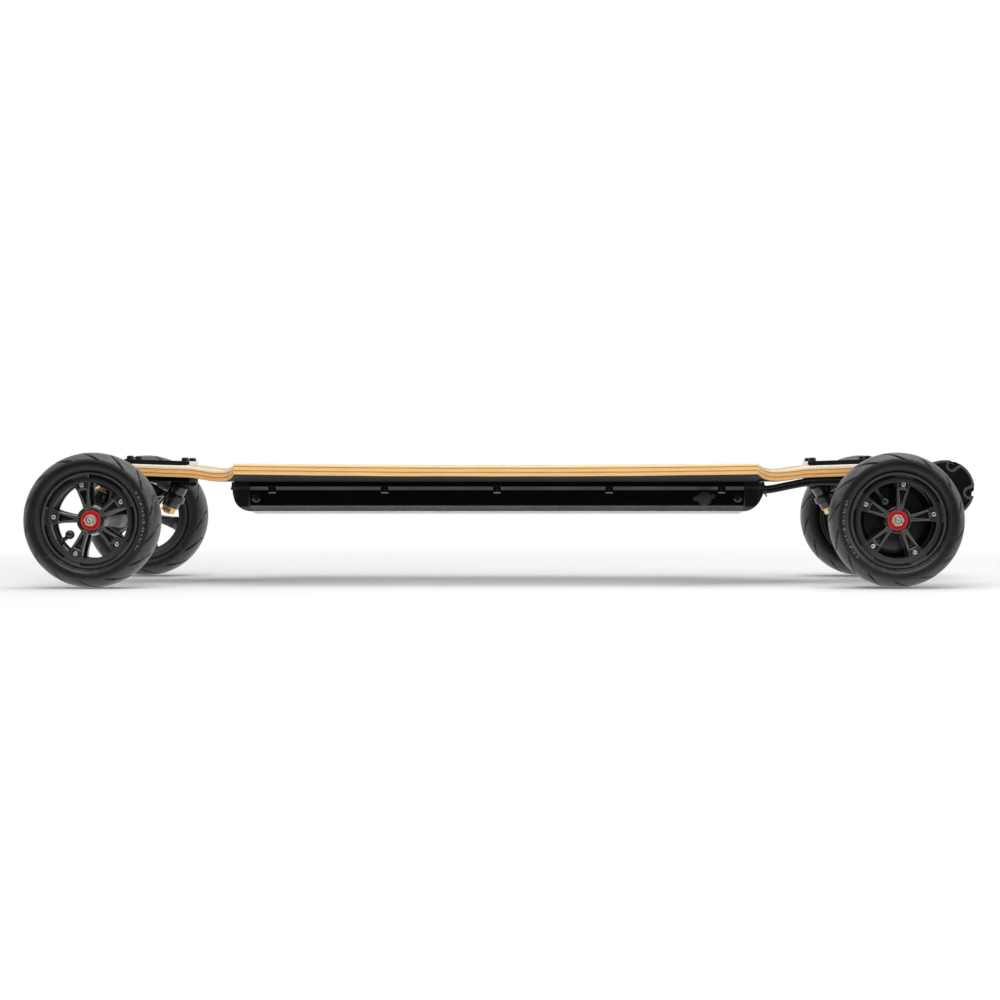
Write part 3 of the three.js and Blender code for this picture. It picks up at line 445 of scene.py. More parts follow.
def build_scuff_group():
    """Thin handling marks: the narrow band where a stretched noise passes its middle, broken up by a slower
    noise."""
    group, get, sink = new_group(
        "handling_marks", [("Place", "vector"), ("Scale", "value", 30.0), ("Amount", "value", 0.5)],
        [("Mask", "value")])
    run = stretched(group, get["Place"], (0.35, 3.0, 3.0), (0.0, 0.5, 0.35))
    lines = noise(group, run, get["Scale"], 5.0, 0.75)
    off = maths(group, "ABSOLUTE", maths(group, "SUBTRACT", lines, 0.5))
    patch = mapped(group, noise(group, get["Place"], 22.0, 2.0), 0.5, 0.62)
    thin = times(group, mapped(group, off, 0.0, 0.006, 1.0, 0.0), patch)
    fill(group, sink, {"Mask": times(group, thin, get["Amount"])})
    return group


def build_dust_group():
    """Pale dust that settles on faces that look up, thinner where a noise is low."""
    group, get, sink = new_group(
        "settled_dust", [("Place", "vector"), ("Colour", "colour", (0.1, 0.1, 0.1, 1)), ("Amount", "value", 0.15)],
        [("Colour", "colour")])
    up = part_of(group, node(group, "ShaderNodeNewGeometry")["Normal"], "Z")
    spots = noise(group, get["Place"], 160.0, 5.0, 0.7)
    share = times(group, mapped(group, up, 0.2, 1.0), mapped(group, spots, 0.45, 0.75))
    share = times(group, share, get["Amount"])
    fill(group, sink, {"Colour": blend_colour(group, share, get["Colour"], (0.42, 0.40, 0.37, 1))})
    return group


finish_group = build_finish_group()
scuff_group = build_scuff_group()
dust_group = build_dust_group()


class Look:
    """A Principled material whose nodes are added step by step. Its sockets are named with _ for a space."""

    def __init__(self, name, **constants):
        self.material = bpy.data.materials.new(name)
        self.material.use_nodes = True
        self.tree = self.material.node_tree
        self.shader = next(n for n in self.tree.nodes if n.type == "BSDF_PRINCIPLED")
        self.set(**constants)
        self.place = node(self.tree, "ShaderNodeTexCoord")["Object"]

    def set(self, **sockets):
        """Sets or links inputs of the shader."""
        fill(self.tree, self.shader, {key.replace("_", " "): value for key, value in sockets.items()})
        return self

    def colour(self):
        """What the shader's colour is linked to so far."""
        return self.shader.inputs["Base Color"].links[0].from_socket

    def group(self, group, **values):
        """The outputs of a shared group at this material's place."""
        return node(self.tree, "ShaderNodeGroup", {"Place": self.place, **values}, node_tree=group)

    def finish(self, colour, blotch, share, scale, grain, roughness, spread):
        """The shared blotches and grain."""
        return self.group(finish_group, **{
            "Colour": colour, "Blotch colour": blotch, "Blotch share": share, "Blotch scale": scale,
            "Grain scale": grain, "Roughness": roughness, "Roughness spread": spread})

    def mark(self, name):
        """A value that the mesh carries at its corners."""
        return node(self.tree, "ShaderNodeAttribute", attribute_name=name)["Fac"]

    def bump(self, height, strength, distance):
        """Fine relief from a height."""
        values = {"Height": height, "Strength": strength, "Distance": distance}
        return self.set(Normal=node(self.tree, "ShaderNodeBump", values)[0])


def grey(value, warm=0.0):
    """A linear grey as a colour, a little warm or cold."""
    return (value * (1 + warm), value, value * (1 - warm), 1)


def painted(name, value, blotch, roughness, grain=900.0, strength=0.1, scuffs=0.1, dust=0.1, distance=0.0002,
            metallic=0.0, share=0.4, spread=0.12, coat=0.0, warm=-0.02, specular=0.5):
    """A dark moulded, painted or cast surface: blotches, grain, handling marks and dust."""
    look = Look(name, Roughness=roughness, Metallic=metallic, Coat_Weight=coat, Coat_Roughness=0.12,
                Specular_IOR_Level=specular)
    tree = look.tree
    base = look.finish(grey(value, warm), grey(blotch, warm), share, 16.0, grain, roughness, spread)
    mask = look.group(scuff_group, Scale=26.0, Amount=scuffs)["Mask"]
    colour = blend_colour(tree, mask, base["Colour"], grey(min(1.0, value * 5 + 0.08)))
    colour = look.group(dust_group, Colour=colour, Amount=dust)["Colour"]
    look.set(Base_Color=colour, Roughness=plus(tree, base["Roughness"], times(tree, mask, 0.2)))
    return look.bump(base["Height"], strength, distance)


def bare_metal(name, colour, blotch, roughness, metallic=0.8):
    """Bright metal with fine turning or brushing lines: a noise drawn out along one axis."""
    look = Look(name, Roughness=roughness, Metallic=metallic)
    tree = look.tree
    base = look.finish(colour, blotch, 0.5, 60.0, 1500.0, roughness, 0.25)
    lines = noise(tree, stretched(tree, look.place, (40.0, 900.0, 40.0)), 20.0, 3.0)
    tint = blend_colour(tree, mapped(tree, lines, 0.3, 0.75, 0.0, 0.35), base["Colour"], blotch)
    return look.set(Base_Color=tint, Roughness=base["Roughness"]).bump(lines, 0.12, 0.0001).material


def wood_fibre(look):
    """Fine fibres along the board."""
    return noise(look.tree, stretched(look.tree, look.place, (9.0, 260.0, 260.0)), 3.0, 6.0, 0.65)


def ply_strips(look):
    """A number from 0 to 1 for each strip of bamboo, as seen from above."""
    strips = stretched(look.tree, look.place, (0.6, 52.0, 0.0))
    cell = node(look.tree, "ShaderNodeTexVoronoi", {"Vector": strips, "Scale": 1.0}, distance="CHEBYCHEV")["Color"]
    return node(look.tree, "ShaderNodeSeparateColor", {0: cell})[0]


# Place in the deck's thickness, from the bottom, and colour: the film, the plies, two glue lines and the pale top.
PLY_COLOURS = [
    (0.0, (0.009, 0.009, 0.011)), (0.078, (0.010, 0.009, 0.010)), (0.096, (0.66, 0.36, 0.13)),
    (0.13, (0.95, 0.66, 0.31)), (0.30, (0.93, 0.60, 0.24)), (0.352, (0.76, 0.42, 0.15)), (0.375, (0.44, 0.16, 0.035)),
    (0.398, (0.54, 0.23, 0.06)), (0.425, (0.92, 0.56, 0.20)), (0.53, (0.97, 0.69, 0.31)), (0.63, (0.91, 0.55, 0.20)),
    (0.668, (0.74, 0.40, 0.14)), (0.69, (0.44, 0.17, 0.04)), (0.712, (0.60, 0.29, 0.085)), (0.74, (0.97, 0.71, 0.34)),
    (0.82, (0.97, 0.84, 0.48)), (0.893, (0.97, 0.90, 0.62)), (0.93, (0.97, 0.93, 0.80)), (1.0, (0.97, 0.94, 0.86))]


def ply_material():
    """Bamboo ply: the attribute layer is the share of the thickness, so plies and glue lines follow the bent deck.
    On the necks the layers stand lower and warm below; their upper plies are pale, partly the wood's tone and partly
    a painted highlight. The underside is a dark film."""
    look = Look("bamboo_ply", Roughness=0.38, Coat_Roughness=0.15)
    tree, layer = look.tree, look.mark("layer")
    slow = noise(tree, stretched(tree, look.place, (7.0, 40.0, 40.0)), 1.6, 3.0)
    out = maths(tree, "ABSOLUTE", part_of(tree, look.place, "X"))
    on_neck = mapped(tree, out, 0.352, 0.392)
    wave = mapped(tree, slow, 0.2, 0.8, -0.018, 0.018)
    raised = plus(tree, plus(tree, layer, wave), times(tree, on_neck, 0.115))
    made = tree.nodes.new("ShaderNodeValToRGB")
    body = fill(tree, made, {"Fac": maths(tree, "DIVIDE", raised, 1.12)})[0]
    stops = made.color_ramp.elements
    for index, (place, colour) in enumerate(PLY_COLOURS):
        stop = stops[index] if index < 2 else stops.new(place)
        stop.position, stop.color = place, (*colour, 1)
    fibre = wood_fibre(look)
    body = blend_colour(tree, mapped(tree, fibre, 0.3, 0.72, 0.0, 0.45), body, (0.62, 0.36, 0.13, 1), "MULTIPLY")
    strip_shade = mapped(tree, ply_strips(look), 0.0, 1.0, 0.0, 0.28)
    on_top = maths(tree, "GREATER_THAN", layer, 0.985)
    body = blend_colour(tree, times(tree, strip_shade, on_top), body, (0.60, 0.38, 0.16, 1), "MULTIPLY")
    # Painted highlight, in part: the necks' upper plies are lightened to a pale cream.
    pale = times(tree, on_neck, mapped(tree, layer, 0.69, 0.86, 0.0, 0.6))
    body = blend_colour(tree, pale, body, (0.97, 0.92, 0.76, 1))
    warm = times(tree, on_neck, mapped(tree, layer, 0.5, 0.7, 0.4, 0.0))
    body = blend_colour(tree, warm, body, (0.96, 0.74, 0.50, 1), "MULTIPLY")
    flecks = noise(tree, look.place, 420.0, 2.0)
    speck = times(tree, mapped(tree, flecks, 0.66, 0.7), mapped(tree, out, 0.37, 0.38))
    speck = times(tree, speck, mapped(tree, layer, 0.93, 0.97))
    body = blend_colour(tree, speck, body, (0.05, 0.045, 0.04, 1))
    under = maths(tree, "LESS_THAN", layer, 0.03)
    film = look.finish((0.011, 0.012, 0.0145, 1), (0.018, 0.020, 0.024, 1), 0.5, 9.0, 700.0, 0.42, 0.15)["Colour"]
    rough = plus(tree, mapped(tree, fibre, 0.2, 0.8, 0.3, 0.46), times(tree, under, 0.35))
    look.set(Base_Color=blend_colour(tree, under, body, film), Roughness=rough,
             Coat_Weight=mapped(tree, under, 0.0, 1.0, 0.35, 0.0))
    return look.bump(fibre, 0.12, 0.0003).material


def grip_material():
    """Clear grit sheet: the ply's strips show through a pale frost of crushed glass, each grain a small bump with
    bright facets."""
    look = Look("grip_grit", Roughness=0.62)
    tree = look.tree
    wood = blend_colour(tree, ply_strips(look), (0.80, 0.60, 0.30, 1), (0.70, 0.47, 0.20, 1))
    fibre = mapped(tree, wood_fibre(look), 0.35, 0.7, 0.0, 0.35)
    wood = blend_colour(tree, fibre, wood, (0.60, 0.38, 0.15, 1))
    grit = node(tree, "ShaderNodeTexVoronoi", {"Vector": look.place, "Scale": 1000.0})["Distance"]
    colour = blend_colour(tree, mapped(tree, grit, 0.1, 0.6, 0.55, 0.2), wood, (0.84, 0.80, 0.70, 1))
    base = look.finish((0.8, 0.8, 0.8, 1), (0.6, 0.6, 0.6, 1), 0.5, 9.0, 1400.0, 0.6, 0.2)
    look.set(Base_Color=blend_colour(tree, 0.35, colour, base["Colour"], "MULTIPLY"), Roughness=base["Roughness"])
    return look.bump(grit, 0.8, 0.0005).material


def tyre_material():
    """Tyre rubber: mould grain, painted shade that darkens the grooves from the attribute groove, and a greyer worn
    crown, mottled, from the attribute tread."""
    look = painted("tyre_rubber", 0.006, 0.012, 0.42, 1300.0, 0.25, 0.2, 0.22, distance=0.0003, share=0.5,
                   specular=0.55)
    tree, tread = look.tree, look.mark("tread")
    mottle = noise(tree, look.place, 170.0, 5.0, 0.75)
    painted_rim_light = times(tree, tread, mapped(tree, mottle, 0.36, 0.64, 0.35, 1.0))
    colour = blend_colour(tree, painted_rim_light, look.colour(), grey(0.052, -0.02))
    flecks = times(tree, mapped(tree, mottle, 0.6, 0.7, 0.0, 0.6), mapped(tree, tread, 0.0, 1.0, 1.0, 0.2))
    colour = blend_colour(tree, flecks, colour, grey(0.035, -0.02))
    return look.set(Base_Color=blend_colour(tree, look.mark("groove"), colour, grey(0.002))).material


def painted_edge_light(look, tone):
    """Painted highlight: greyer where the mesh marks edges, chamfers and recess walls that catch the light, broken up
    by a noise.
    """
    tree = look.tree
    highlight_breakup = mapped(tree, noise(tree, look.place, 35.0, 4.0), 0.3, 0.7, 0.5, 0.8)
    highlight_share = times(tree, look.mark("rub"), highlight_breakup)
    return look.set(Base_Color=blend_colour(tree, highlight_share, look.colour(), grey(tone))).material


def rim_material():
    """Cast and coated rim: satin black, with painted shade in its slots and pockets by the attribute groove, and
    painted highlights on its marked edges.
    """
    look = painted("cast_black", 0.006, 0.012, 0.30, 800.0, 0.2, 0.25, 0.12, specular=0.8, coat=0.6)
    # Painted shade in the slots and pockets.
    look.set(Base_Color=blend_colour(look.tree, look.mark("groove"), look.colour(), grey(0.002)))
    return painted_edge_light(look, 0.075)


def sleeve_material():
    """Braided sleeve: two crossed sets of bands along the attributes run and turn."""
    look = Look("cable_sleeve", Roughness=0.55)
    tree = look.tree
    run, turn = times(tree, look.mark("run"), 26.0), times(tree, look.mark("turn"), 50.265)
    bands = [maths(tree, "SINE", maths(tree, how, run, turn)) for how in ("ADD", "SUBTRACT")]
    weave = maths(tree, "MAXIMUM", *bands)
    base = look.finish(grey(0.006), grey(0.010), 0.5, 30.0, 1500.0, 0.42, 0.15)
    colour = blend_colour(tree, mapped(tree, weave, 0.2, 1.0, 0.0, 0.45), base["Colour"], grey(0.028))
    return look.set(Base_Color=colour, Roughness=base["Roughness"]).bump(weave, 0.5, 0.0004).material


def clear_sheet_material():
    """Skid sheet: pale, glossy plastic with long sliding scratches."""
    look = Look("skid_sheet", Roughness=0.18, Coat_Weight=0.5, Coat_Roughness=0.08)
    base = look.finish((0.84, 0.85, 0.86, 1), (0.70, 0.71, 0.72, 1), 0.4, 10.0, 600.0, 0.2, 0.2)
    mask = look.group(scuff_group, Scale=14.0, Amount=0.9)["Mask"]
    colour = blend_colour(look.tree, mask, base["Colour"], grey(0.36))
    look.set(Base_Color=colour, Roughness=plus(look.tree, base["Roughness"], mask))
    return look.bump(base["Height"], 0.06, 0.0001).material


def plate_material(name, low, high, roughness, specular, coat=0.0):
    """Powder-coated metal whose cut ends are bare, from the attribute bare."""
    look = painted(name, low, high, roughness, 1000.0, 0.2, 0.4, 0.12, specular=specular, coat=coat)
    bare = maths(look.tree, "GREATER_THAN", look.mark("bare"), 0.5)
    return look.set(Base_Color=blend_colour(look.tree, bare, look.colour(), grey(0.80)), Metallic=bare).material


def shield_material():
    """Red rubber bearing shield with a pressed ring and a paler rim, both from the attribute band."""
    look = Look("bearing_shield", Roughness=0.38, Specular_IOR_Level=0.2)
    base = look.finish((0.58, 0.004, 0.008, 1), (0.68, 0.010, 0.014, 1), 0.6, 60.0, 1600.0, 0.36, 0.2)
    rim = mapped(look.tree, look.mark("band"), 0.6, 1.0, 0.0, 0.55)
    colour = blend_colour(look.tree, rim, base["Colour"], (0.80, 0.22, 0.25, 1))
    look.set(Base_Color=colour, Roughness=base["Roughness"])
    return look.bump(base["Height"], 0.1, 0.0001).material


ply = ply_material()
grip_grit = grip_material()
tyre_rubber = tyre_material()
rim_black = rim_material()
braid = sleeve_material()
skid_sheet = clear_sheet_material()
shield_red = shield_material()
forged = plate_material("forged_black", 0.004, 0.009, 0.32, 0.5, 0.25)
top_coat = plate_material("top_plate_black", 0.002, 0.004, 0.5, 0.25)
base_coat = plate_material("base_plate_black", 0.0015, 0.003, 0.6, 0.12)
# Painted highlights on the marked chamfers, edges and recess walls of the tray, the caps and the belt cover.
case_gloss = painted_edge_light(
    painted("case_black", 0.0010, 0.0020, 0.20, 500.0, 0.05, 0.08, 0.05, spread=0.08, specular=0.3), 0.13)
case_textured = painted_edge_light(
    painted("case_grey", 0.0020, 0.004, 0.55, 1500.0, 0.5, 0.12, distance=0.0004, specular=0.2), 0.10)
cover_black = painted_edge_light(painted("cover_black", 0.003, 0.006, 0.32, strength=0.2, scuffs=0.3), 0.11)
mark_rubber = painted("tyre_mark_grey", 0.15, 0.22, 0.45, scuffs=0.2).material
# The clip's pale grey stands in part for a painted highlight on the pocket floor.
clip_painted_highlight = painted("clip_painted_highlight", 0.16, 0.20, 0.3, scuffs=0.2).material
motor_black = painted("motor_black", 0.007, 0.012, 0.3, scuffs=0.3, dust=0.08, metallic=0.6).material
urethane = painted("urethane", 0.004, 0.008, 0.30, 700.0, coat=0.6).material
soft_rubber = painted("soft_rubber", 0.008, 0.012, 0.55, 1200.0, 0.25, dust=0.12).material
cap_rubber = painted("cap_rubber", 0.010, 0.016, 0.4, 1500.0, 0.15, specular=0.6).material
belt_rubber = painted("belt_rubber", 0.008, 0.012, 0.7, 1500.0, 0.3).material
nylon_black = painted("nylon_black", 0.006, 0.009, 0.28, scuffs=0.0, dust=0.05, specular=0.8).material
screw_black = painted("screw_black", 0.008, 0.016, 0.32, 1600.0, 0.08, 0.4, 0.05, metallic=0.5).material
pack_wrap = painted("pack_blue", 0.10, 0.14, 0.35, 400.0, dust=0.0, warm=-0.6).material
steel = bare_metal("bright_steel", (0.70, 0.69, 0.67, 1), (0.52, 0.51, 0.49, 1), 0.26)
gold = bare_metal("gold_steel", (0.86, 0.60, 0.30, 1), (0.50, 0.30, 0.12, 1), 0.22, 0.85)
nut_plate = bare_metal("plated_nut", (0.88, 0.80, 0.58, 1), (0.62, 0.52, 0.34, 1), 0.24, 0.5)
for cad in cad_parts.values():
    cad.data.materials.clear()
    cad.data.materials.append(pack_wrap)


# ---------------------------------------------------------------- deck
def deck_half_width(x):
    """Half the deck's width: the platform, a flank that sweeps in to the neck from a crisp corner, share 2 s - s^2,
    a slight taper and an end whose corners are quarter circles."""
    place = np.abs(x)
    flank = ramp(place, PLATFORM_END, FLANK)
    wide = 120 - 60 * flank * (2 - flank)
    narrowed = wide - 10 * ramp(place, NECK_START, DECK_END - NECK_START)
    past = np.maximum(0, place - CORNER_START)
    return narrowed - CORNER + np.sqrt(np.maximum(0, CORNER ** 2 - past ** 2))


def deck_underside(x, y):
    """Height of the underside: flat middle, rails that rise towards the edges and fade out along the flank by
    (1 - s)^2, necks that curve up and run on at a slope."""
    place = np.abs(x)
    sag = 5.4 + 2.8 * ramp(place, 0, PLATFORM_END) ** 2
    left = (1 - ramp(place, PLATFORM_END, FLANK)) ** 2
    lift = sag * left * ramp(np.abs(y) - (60 + 60 * left), -32, 32) ** 1.3
    curve = CURVE_END - NECK_START
    share = ramp(place, NECK_START, curve)
    rise = 5.4 * (3 - 2 * share) * share ** 2 + NECK_SLOPE * curve * (share ** 3 - share ** 2)
    return DECK_CENTRE + lift + rise + np.maximum(0, place - CURVE_END) * NECK_SLOPE


def deck_sheet(half_length, low, high, edge, margin=0.0):
    """A sheet between two levels over the underside. Its section is a loop of (share of the width, offset, level),
    rounded at the four edges, and its last stations shrink in thickness so that both ends are rounded too."""
    t = np.linspace(0, math.pi / 2, 5)
    out, climb, corner = edge * np.sin(t), edge * (1 - np.cos(t)), np.ones(5)
    tall = high - low
    side = np.array([0.3, 0.45, 0.54, 0.61, 0.67, 0.73, 0.77, 0.81, 0.85, 0.89, 0.93, 0.965])
    across = np.concatenate([-side[::-1], [0], side])
    wall = np.linspace(edge, tall - edge, 9)[1:-1]
    flat, upright = np.zeros(len(across)), np.ones(len(wall))
    share = np.concatenate([across, corner, upright, corner, across[::-1], -corner, -upright, -corner])
    offset = np.concatenate([flat, out, edge * upright, edge * np.cos(t), flat, -out, -edge * upright,
                             -edge * np.cos(t)])
    level = np.concatenate([flat, climb, wall, tall - edge + out, tall + flat, tall - climb, wall[::-1],
                            edge * (1 - np.sin(t))])
    places = [np.linspace(0, PLATFORM_END, 32), PLATFORM_END + FLANK * np.linspace(0, 1, 27) ** 1.5,
              np.linspace(NECK_START, CURVE_END, 15), np.linspace(CURVE_END, CORNER_START, 14),
              CORNER_START + CORNER * np.sin(np.linspace(0, 1.25, 18))]
    right = np.unique(np.concatenate(places).round(3))
    right = right[right < half_length - edge - 0.3]
    right = np.concatenate([right, half_length - edge + out])
    x = np.concatenate([-right[:0:-1], right])[:, None]
    past = np.clip(np.abs(x) - (half_length - edge), 0, edge)
    shrink = edge - np.sqrt(edge ** 2 - past ** 2)
    width = deck_half_width(x) - margin - edge
    y = width * share + offset
    lift = shrink + level * (tall - 2 * shrink) / tall
    z = deck_underside(x, y) + low + lift
    points = np.stack([np.broadcast_to(x, y.shape) + BOARD_SHIFT, y, z], -1)
    return shell(points, marks={"layer": lift / tall})


deck = deck_sheet(DECK_END, 0, DECK_THICKNESS, 1.3)
grip = deck_sheet(419.8, DECK_THICKNESS + 0.3, DECK_THICKNESS + 1.3, 0.35, margin=3.5)
piece("deck_ply", [deck], "board", "bamboo_ply", ply, ["deck"], sharp=50)
piece("deck_grip", [grip], "board", "grip", grip_grit, ["grip_sheet"], sharp=50)


# ---------------------------------------------------------------- battery case
def case_half_width(z):
    """Half the case's outside width at a height: floor, floor chamfer, wall, flange chamfer and flange."""
    heights = [CASE_BOTTOM, CASE_BOTTOM + 6.3, 126.0, 130.5, CASE_TOP]
    return np.interp(z, heights, [77.0, 85.0, 85.0, 90.0, 90.0])


def case_section(z_list):
    """Heights up one side of the case, with each kink eased by two close points."""
    kinks = [CASE_BOTTOM, CASE_BOTTOM + 0.5, 103.2, 104.2, 125.7, 126.2, 130.2, 130.7, 136.2, CASE_TOP]
    return np.unique(np.concatenate([z_list, kinks]))


def tray_shells():
    """The tray: the outside of the section, sunk at the five screw pockets, the two end screws and the socket, then
    the inside. The socket is on the near side only. The floor chamfer, the flange chamfer beside the pockets and the
    lower wall of each end-screw recess are marked for a painted highlight."""
    z = case_section(np.concatenate([np.arange(109.4, 120.7, 0.4), np.linspace(120.9, 131.9, 24), [106.5, 108]]))
    ends = np.concatenate([np.arange(314.6, 327.5, 0.45), [328.4, 329.0]])
    stops = (np.arange(5) - 2)[:, None] * POCKET_PITCH + np.array([-5.3, -5.0, -4.7, 0, 4.7, 5.0, 5.3])
    socket = np.arange(266.5, 286.8, 0.45)
    x = np.concatenate([-ends, ends, stops.ravel(), socket, np.linspace(-310, 310, 32)])
    x, tall = np.unique(x.round(3))[:, None], z[None, :]

    from_pocket = np.abs(x - np.round(x / POCKET_PITCH) * POCKET_PITCH)
    from_screw = np.hypot(np.abs(x) - END_SCREW, tall - SIDE_MIDDLE)
    from_socket = np.hypot(x - SOCKET, tall - SIDE_MIDDLE)
    by_pockets = np.abs(x) < POCKETS_END
    pocket = ramp(from_pocket, 5.0, -0.3) * ramp(tall, 122.0, 0.3) * ramp(tall, 130.2, -0.3) * by_pockets
    half = case_half_width(tall) + 0 * x
    far = half + (83.4 - half) * pocket - 1.6 * eased(from_screw, 5.2, -1.4)
    near = far - 5.6 * eased(from_socket, 8.25, -0.5)

    # Painted highlights: the lower wall of each end-screw recess, the flange chamfer and the floor chamfer.
    lit = band(from_screw, 3.5, 5.5) * ramp(tall, 115.2, -1.2)
    brow = band(tall, 125.8, 130.7) * ((from_pocket >= 5.2) | ~by_pockets) * 0.6
    rub = np.clip(band(tall, 97.8, 104.0) + brow + 2.2 * lit, 0, 2.2)

    inside = np.broadcast_to([81.8, 81.8, 81.8, 75.4], (len(x), 4))
    z_in = np.array([CASE_TOP, 120.0, 105.4, 100.7])
    y = np.concatenate([far, inside, -inside[:, ::-1], -near[:, ::-1]], 1)
    heights = np.concatenate([z, z_in, z_in[::-1], z[::-1]])
    heights = heights + 1.3 * ramp(heights, 108, -3)
    points = np.stack(np.broadcast_arrays(x + BOARD_SHIFT, y, heights), -1)
    return [shell(points, marks={"rub": np.concatenate([rub, 0 * inside, 0 * inside, rub[:, ::-1]], 1)})]


def cap_shells(end):
    """An end cap: the case's section, cut from below by a quarter ellipse, z = top - crown - height cos a at
    x = base + length sin a. The rear one bulges further out at its top."""
    a = np.concatenate([np.linspace(0, 1.2, 15), np.linspace(1.24, math.pi / 2, 10)])
    bulge = 3.2 if end > 0 else 0.8
    x = CAP_START + 23 * np.sin(a) + bulge * np.sin(a) ** 6
    low = CASE_TOP - 12.3 - 26.9 * np.cos(a)
    x = np.concatenate([[CAP_START, CAP_START + 0.15], x[1:], x[-1:] + 0.01])[:, None]
    low = np.concatenate([[low[0] + 0.5, low[0] + 0.05], low[1:], [CASE_TOP - 1.2]])[:, None]
    slim = np.concatenate([[0.5, 0.1], np.zeros(len(x) - 3), [0.6]])[:, None]
    z = case_section(np.linspace(CASE_BOTTOM, CASE_TOP, 34))
    heights = np.maximum(z[None, :], low)
    half = case_half_width(heights) - slim
    half = half - 5 * ramp(x, 344, 8) ** 3 * np.clip((CASE_TOP - heights) / 30 + 0.4, 0, 1)
    y = np.concatenate([half, -half[:, ::-1]], 1)
    tall = np.concatenate([heights, heights[:, ::-1]], 1)
    # Painted highlights along the seam by the tray and on the cap's foot.
    seam = eased(x, 331.3, -0.5) * ramp(heights, 124, -20)
    foot = eased(heights, 104.0, -0.4) * smooth_share((heights - low - 0.3) / 0.5) * 0.5
    rub = np.clip(seam + foot, 0, 1)
    points = np.stack(np.broadcast_arrays(end * x + BOARD_SHIFT, y, tall), -1)
    return [shell(points, marks={"rub": np.concatenate([rub, rub[:, ::-1]], 1)})]


def gasket_shells():
    """A thin seal between the flange and the deck: a frame that shows as a dark line."""
    def frame_of(x, y):
        return rounded([(-x, -y), (x, -y), (x, y), (-x, y)], 2.0)
    flat = pierced(frame_of(350.5, 88.5), frame_of(345, 83), -0.35, 0.35, 0.1)
    return placed([flat], (1, 0, 0), (0, 0, 1), (0, -1, 0), (BOARD_SHIFT, 0, CASE_TOP + 0.15))


piece("case_tray_moulding", tray_shells(), "board", "case_black", case_gloss, ["case_tray"], sharp=28)
for cap_name, cap_end in (("front", -1), ("rear", 1)):
    piece(f"case_{cap_name}_cap_moulding", cap_shells(cap_end), "board", "case_grey", case_textured,
          [f"case_{cap_name}_cap"], sharp=28)
piece("case_gasket", gasket_shells(), "board", "case_black", soft_rubber)
flap = rounded([(-351.9, 134.8), (-351.9, 126.2), (-354.6, 125.9), (-355.7, 126.9), (-353.5, 134.8)], 0.5)
piece("case_front_flap", shifted([slab(flap, -82, -58, 0.4)], BOARD_SHIFT), "board", "case_grey", soft_rubber)
skid_outline = rounded([(-333, 98.5), (-322.8, 94.0), (322.8, 94.0), (333, 98.5)], 0.8)
skid = shifted([slab(skid_outline, -70, 70, 0.6)], BOARD_SHIFT)
piece("skid_sheet", skid, "board", "clear_sheet", skid_sheet, ["skid_plate"])


def case_trim():
    """Pan-head screws: two in round recesses on each side, and one with its clip in each flange pocket. The clips'
    pale grey is partly a painted highlight on the pocket floor.
    """
    heads, clips = [], []
    clip = rounded([(-4.9, 121.4), (4.9, 121.4), (4.9, 123.4), (-4.9, 123.4)], 0.5)
    for side in (-1, 1):
        for x in (-END_SCREW, END_SCREW):
            heads += shifted([socket_screw(3.1, 1.5, side * 83.3, side, 1.5)], x + BOARD_SHIFT, 0, SIDE_MIDDLE)
        for x in (np.arange(5) - 2) * POCKET_PITCH:
            clips += shifted([slab(clip, *sorted((side * 83.2, side * 85.7)), 0.5)], x + BOARD_SHIFT)
            heads += shifted([socket_screw(2.3, 1.2, side * 83.3, side, 1.0)], x + BOARD_SHIFT, 0, 127)
    piece("case_screws", heads, "board", "case_black", screw_black)
    piece("case_pocket_clips", clips, "board", "case_grey", clip_painted_highlight)


case_trim()


def charge_cap_shells():
    """The rubber cap: a dark disc with a plug, and over it a raised shape with a flat crown, a blunt foot and two
    wings, the left one lower. A smaller raised shape stands on its middle."""
    disc = rounded([(5.9, -84.6), (6.1, -87.2), (8.2, -87.4), (8.3, -88.2), (0.5, -88.3)], 0.2, closed=False)
    outline = [(-14.9, 2.4), (-14.5, -3.3), (-9.4, -2.9), (-6.8, -1.7), (-3.2, -4.9), (2.9, -4.9), (8.2, -0.3),
               (14.0, 0.2), (14.4, 5.9), (8.6, 5.4), (3.8, 8.3), (-3.6, 8.3), (-9.4, 3.7)]
    body = slab(rounded(outline, 1.1, 4)[::-1], -89.4, -88.1, 0.55, 3)
    middle = inset(rounded(outline[3:7] + outline[9:13], 1.5, 3), 1.5)
    return [turned(disc, 48), body, slab(rounded(middle, 0.6, 2), -90.0, -89.2, 0.6, 3)]


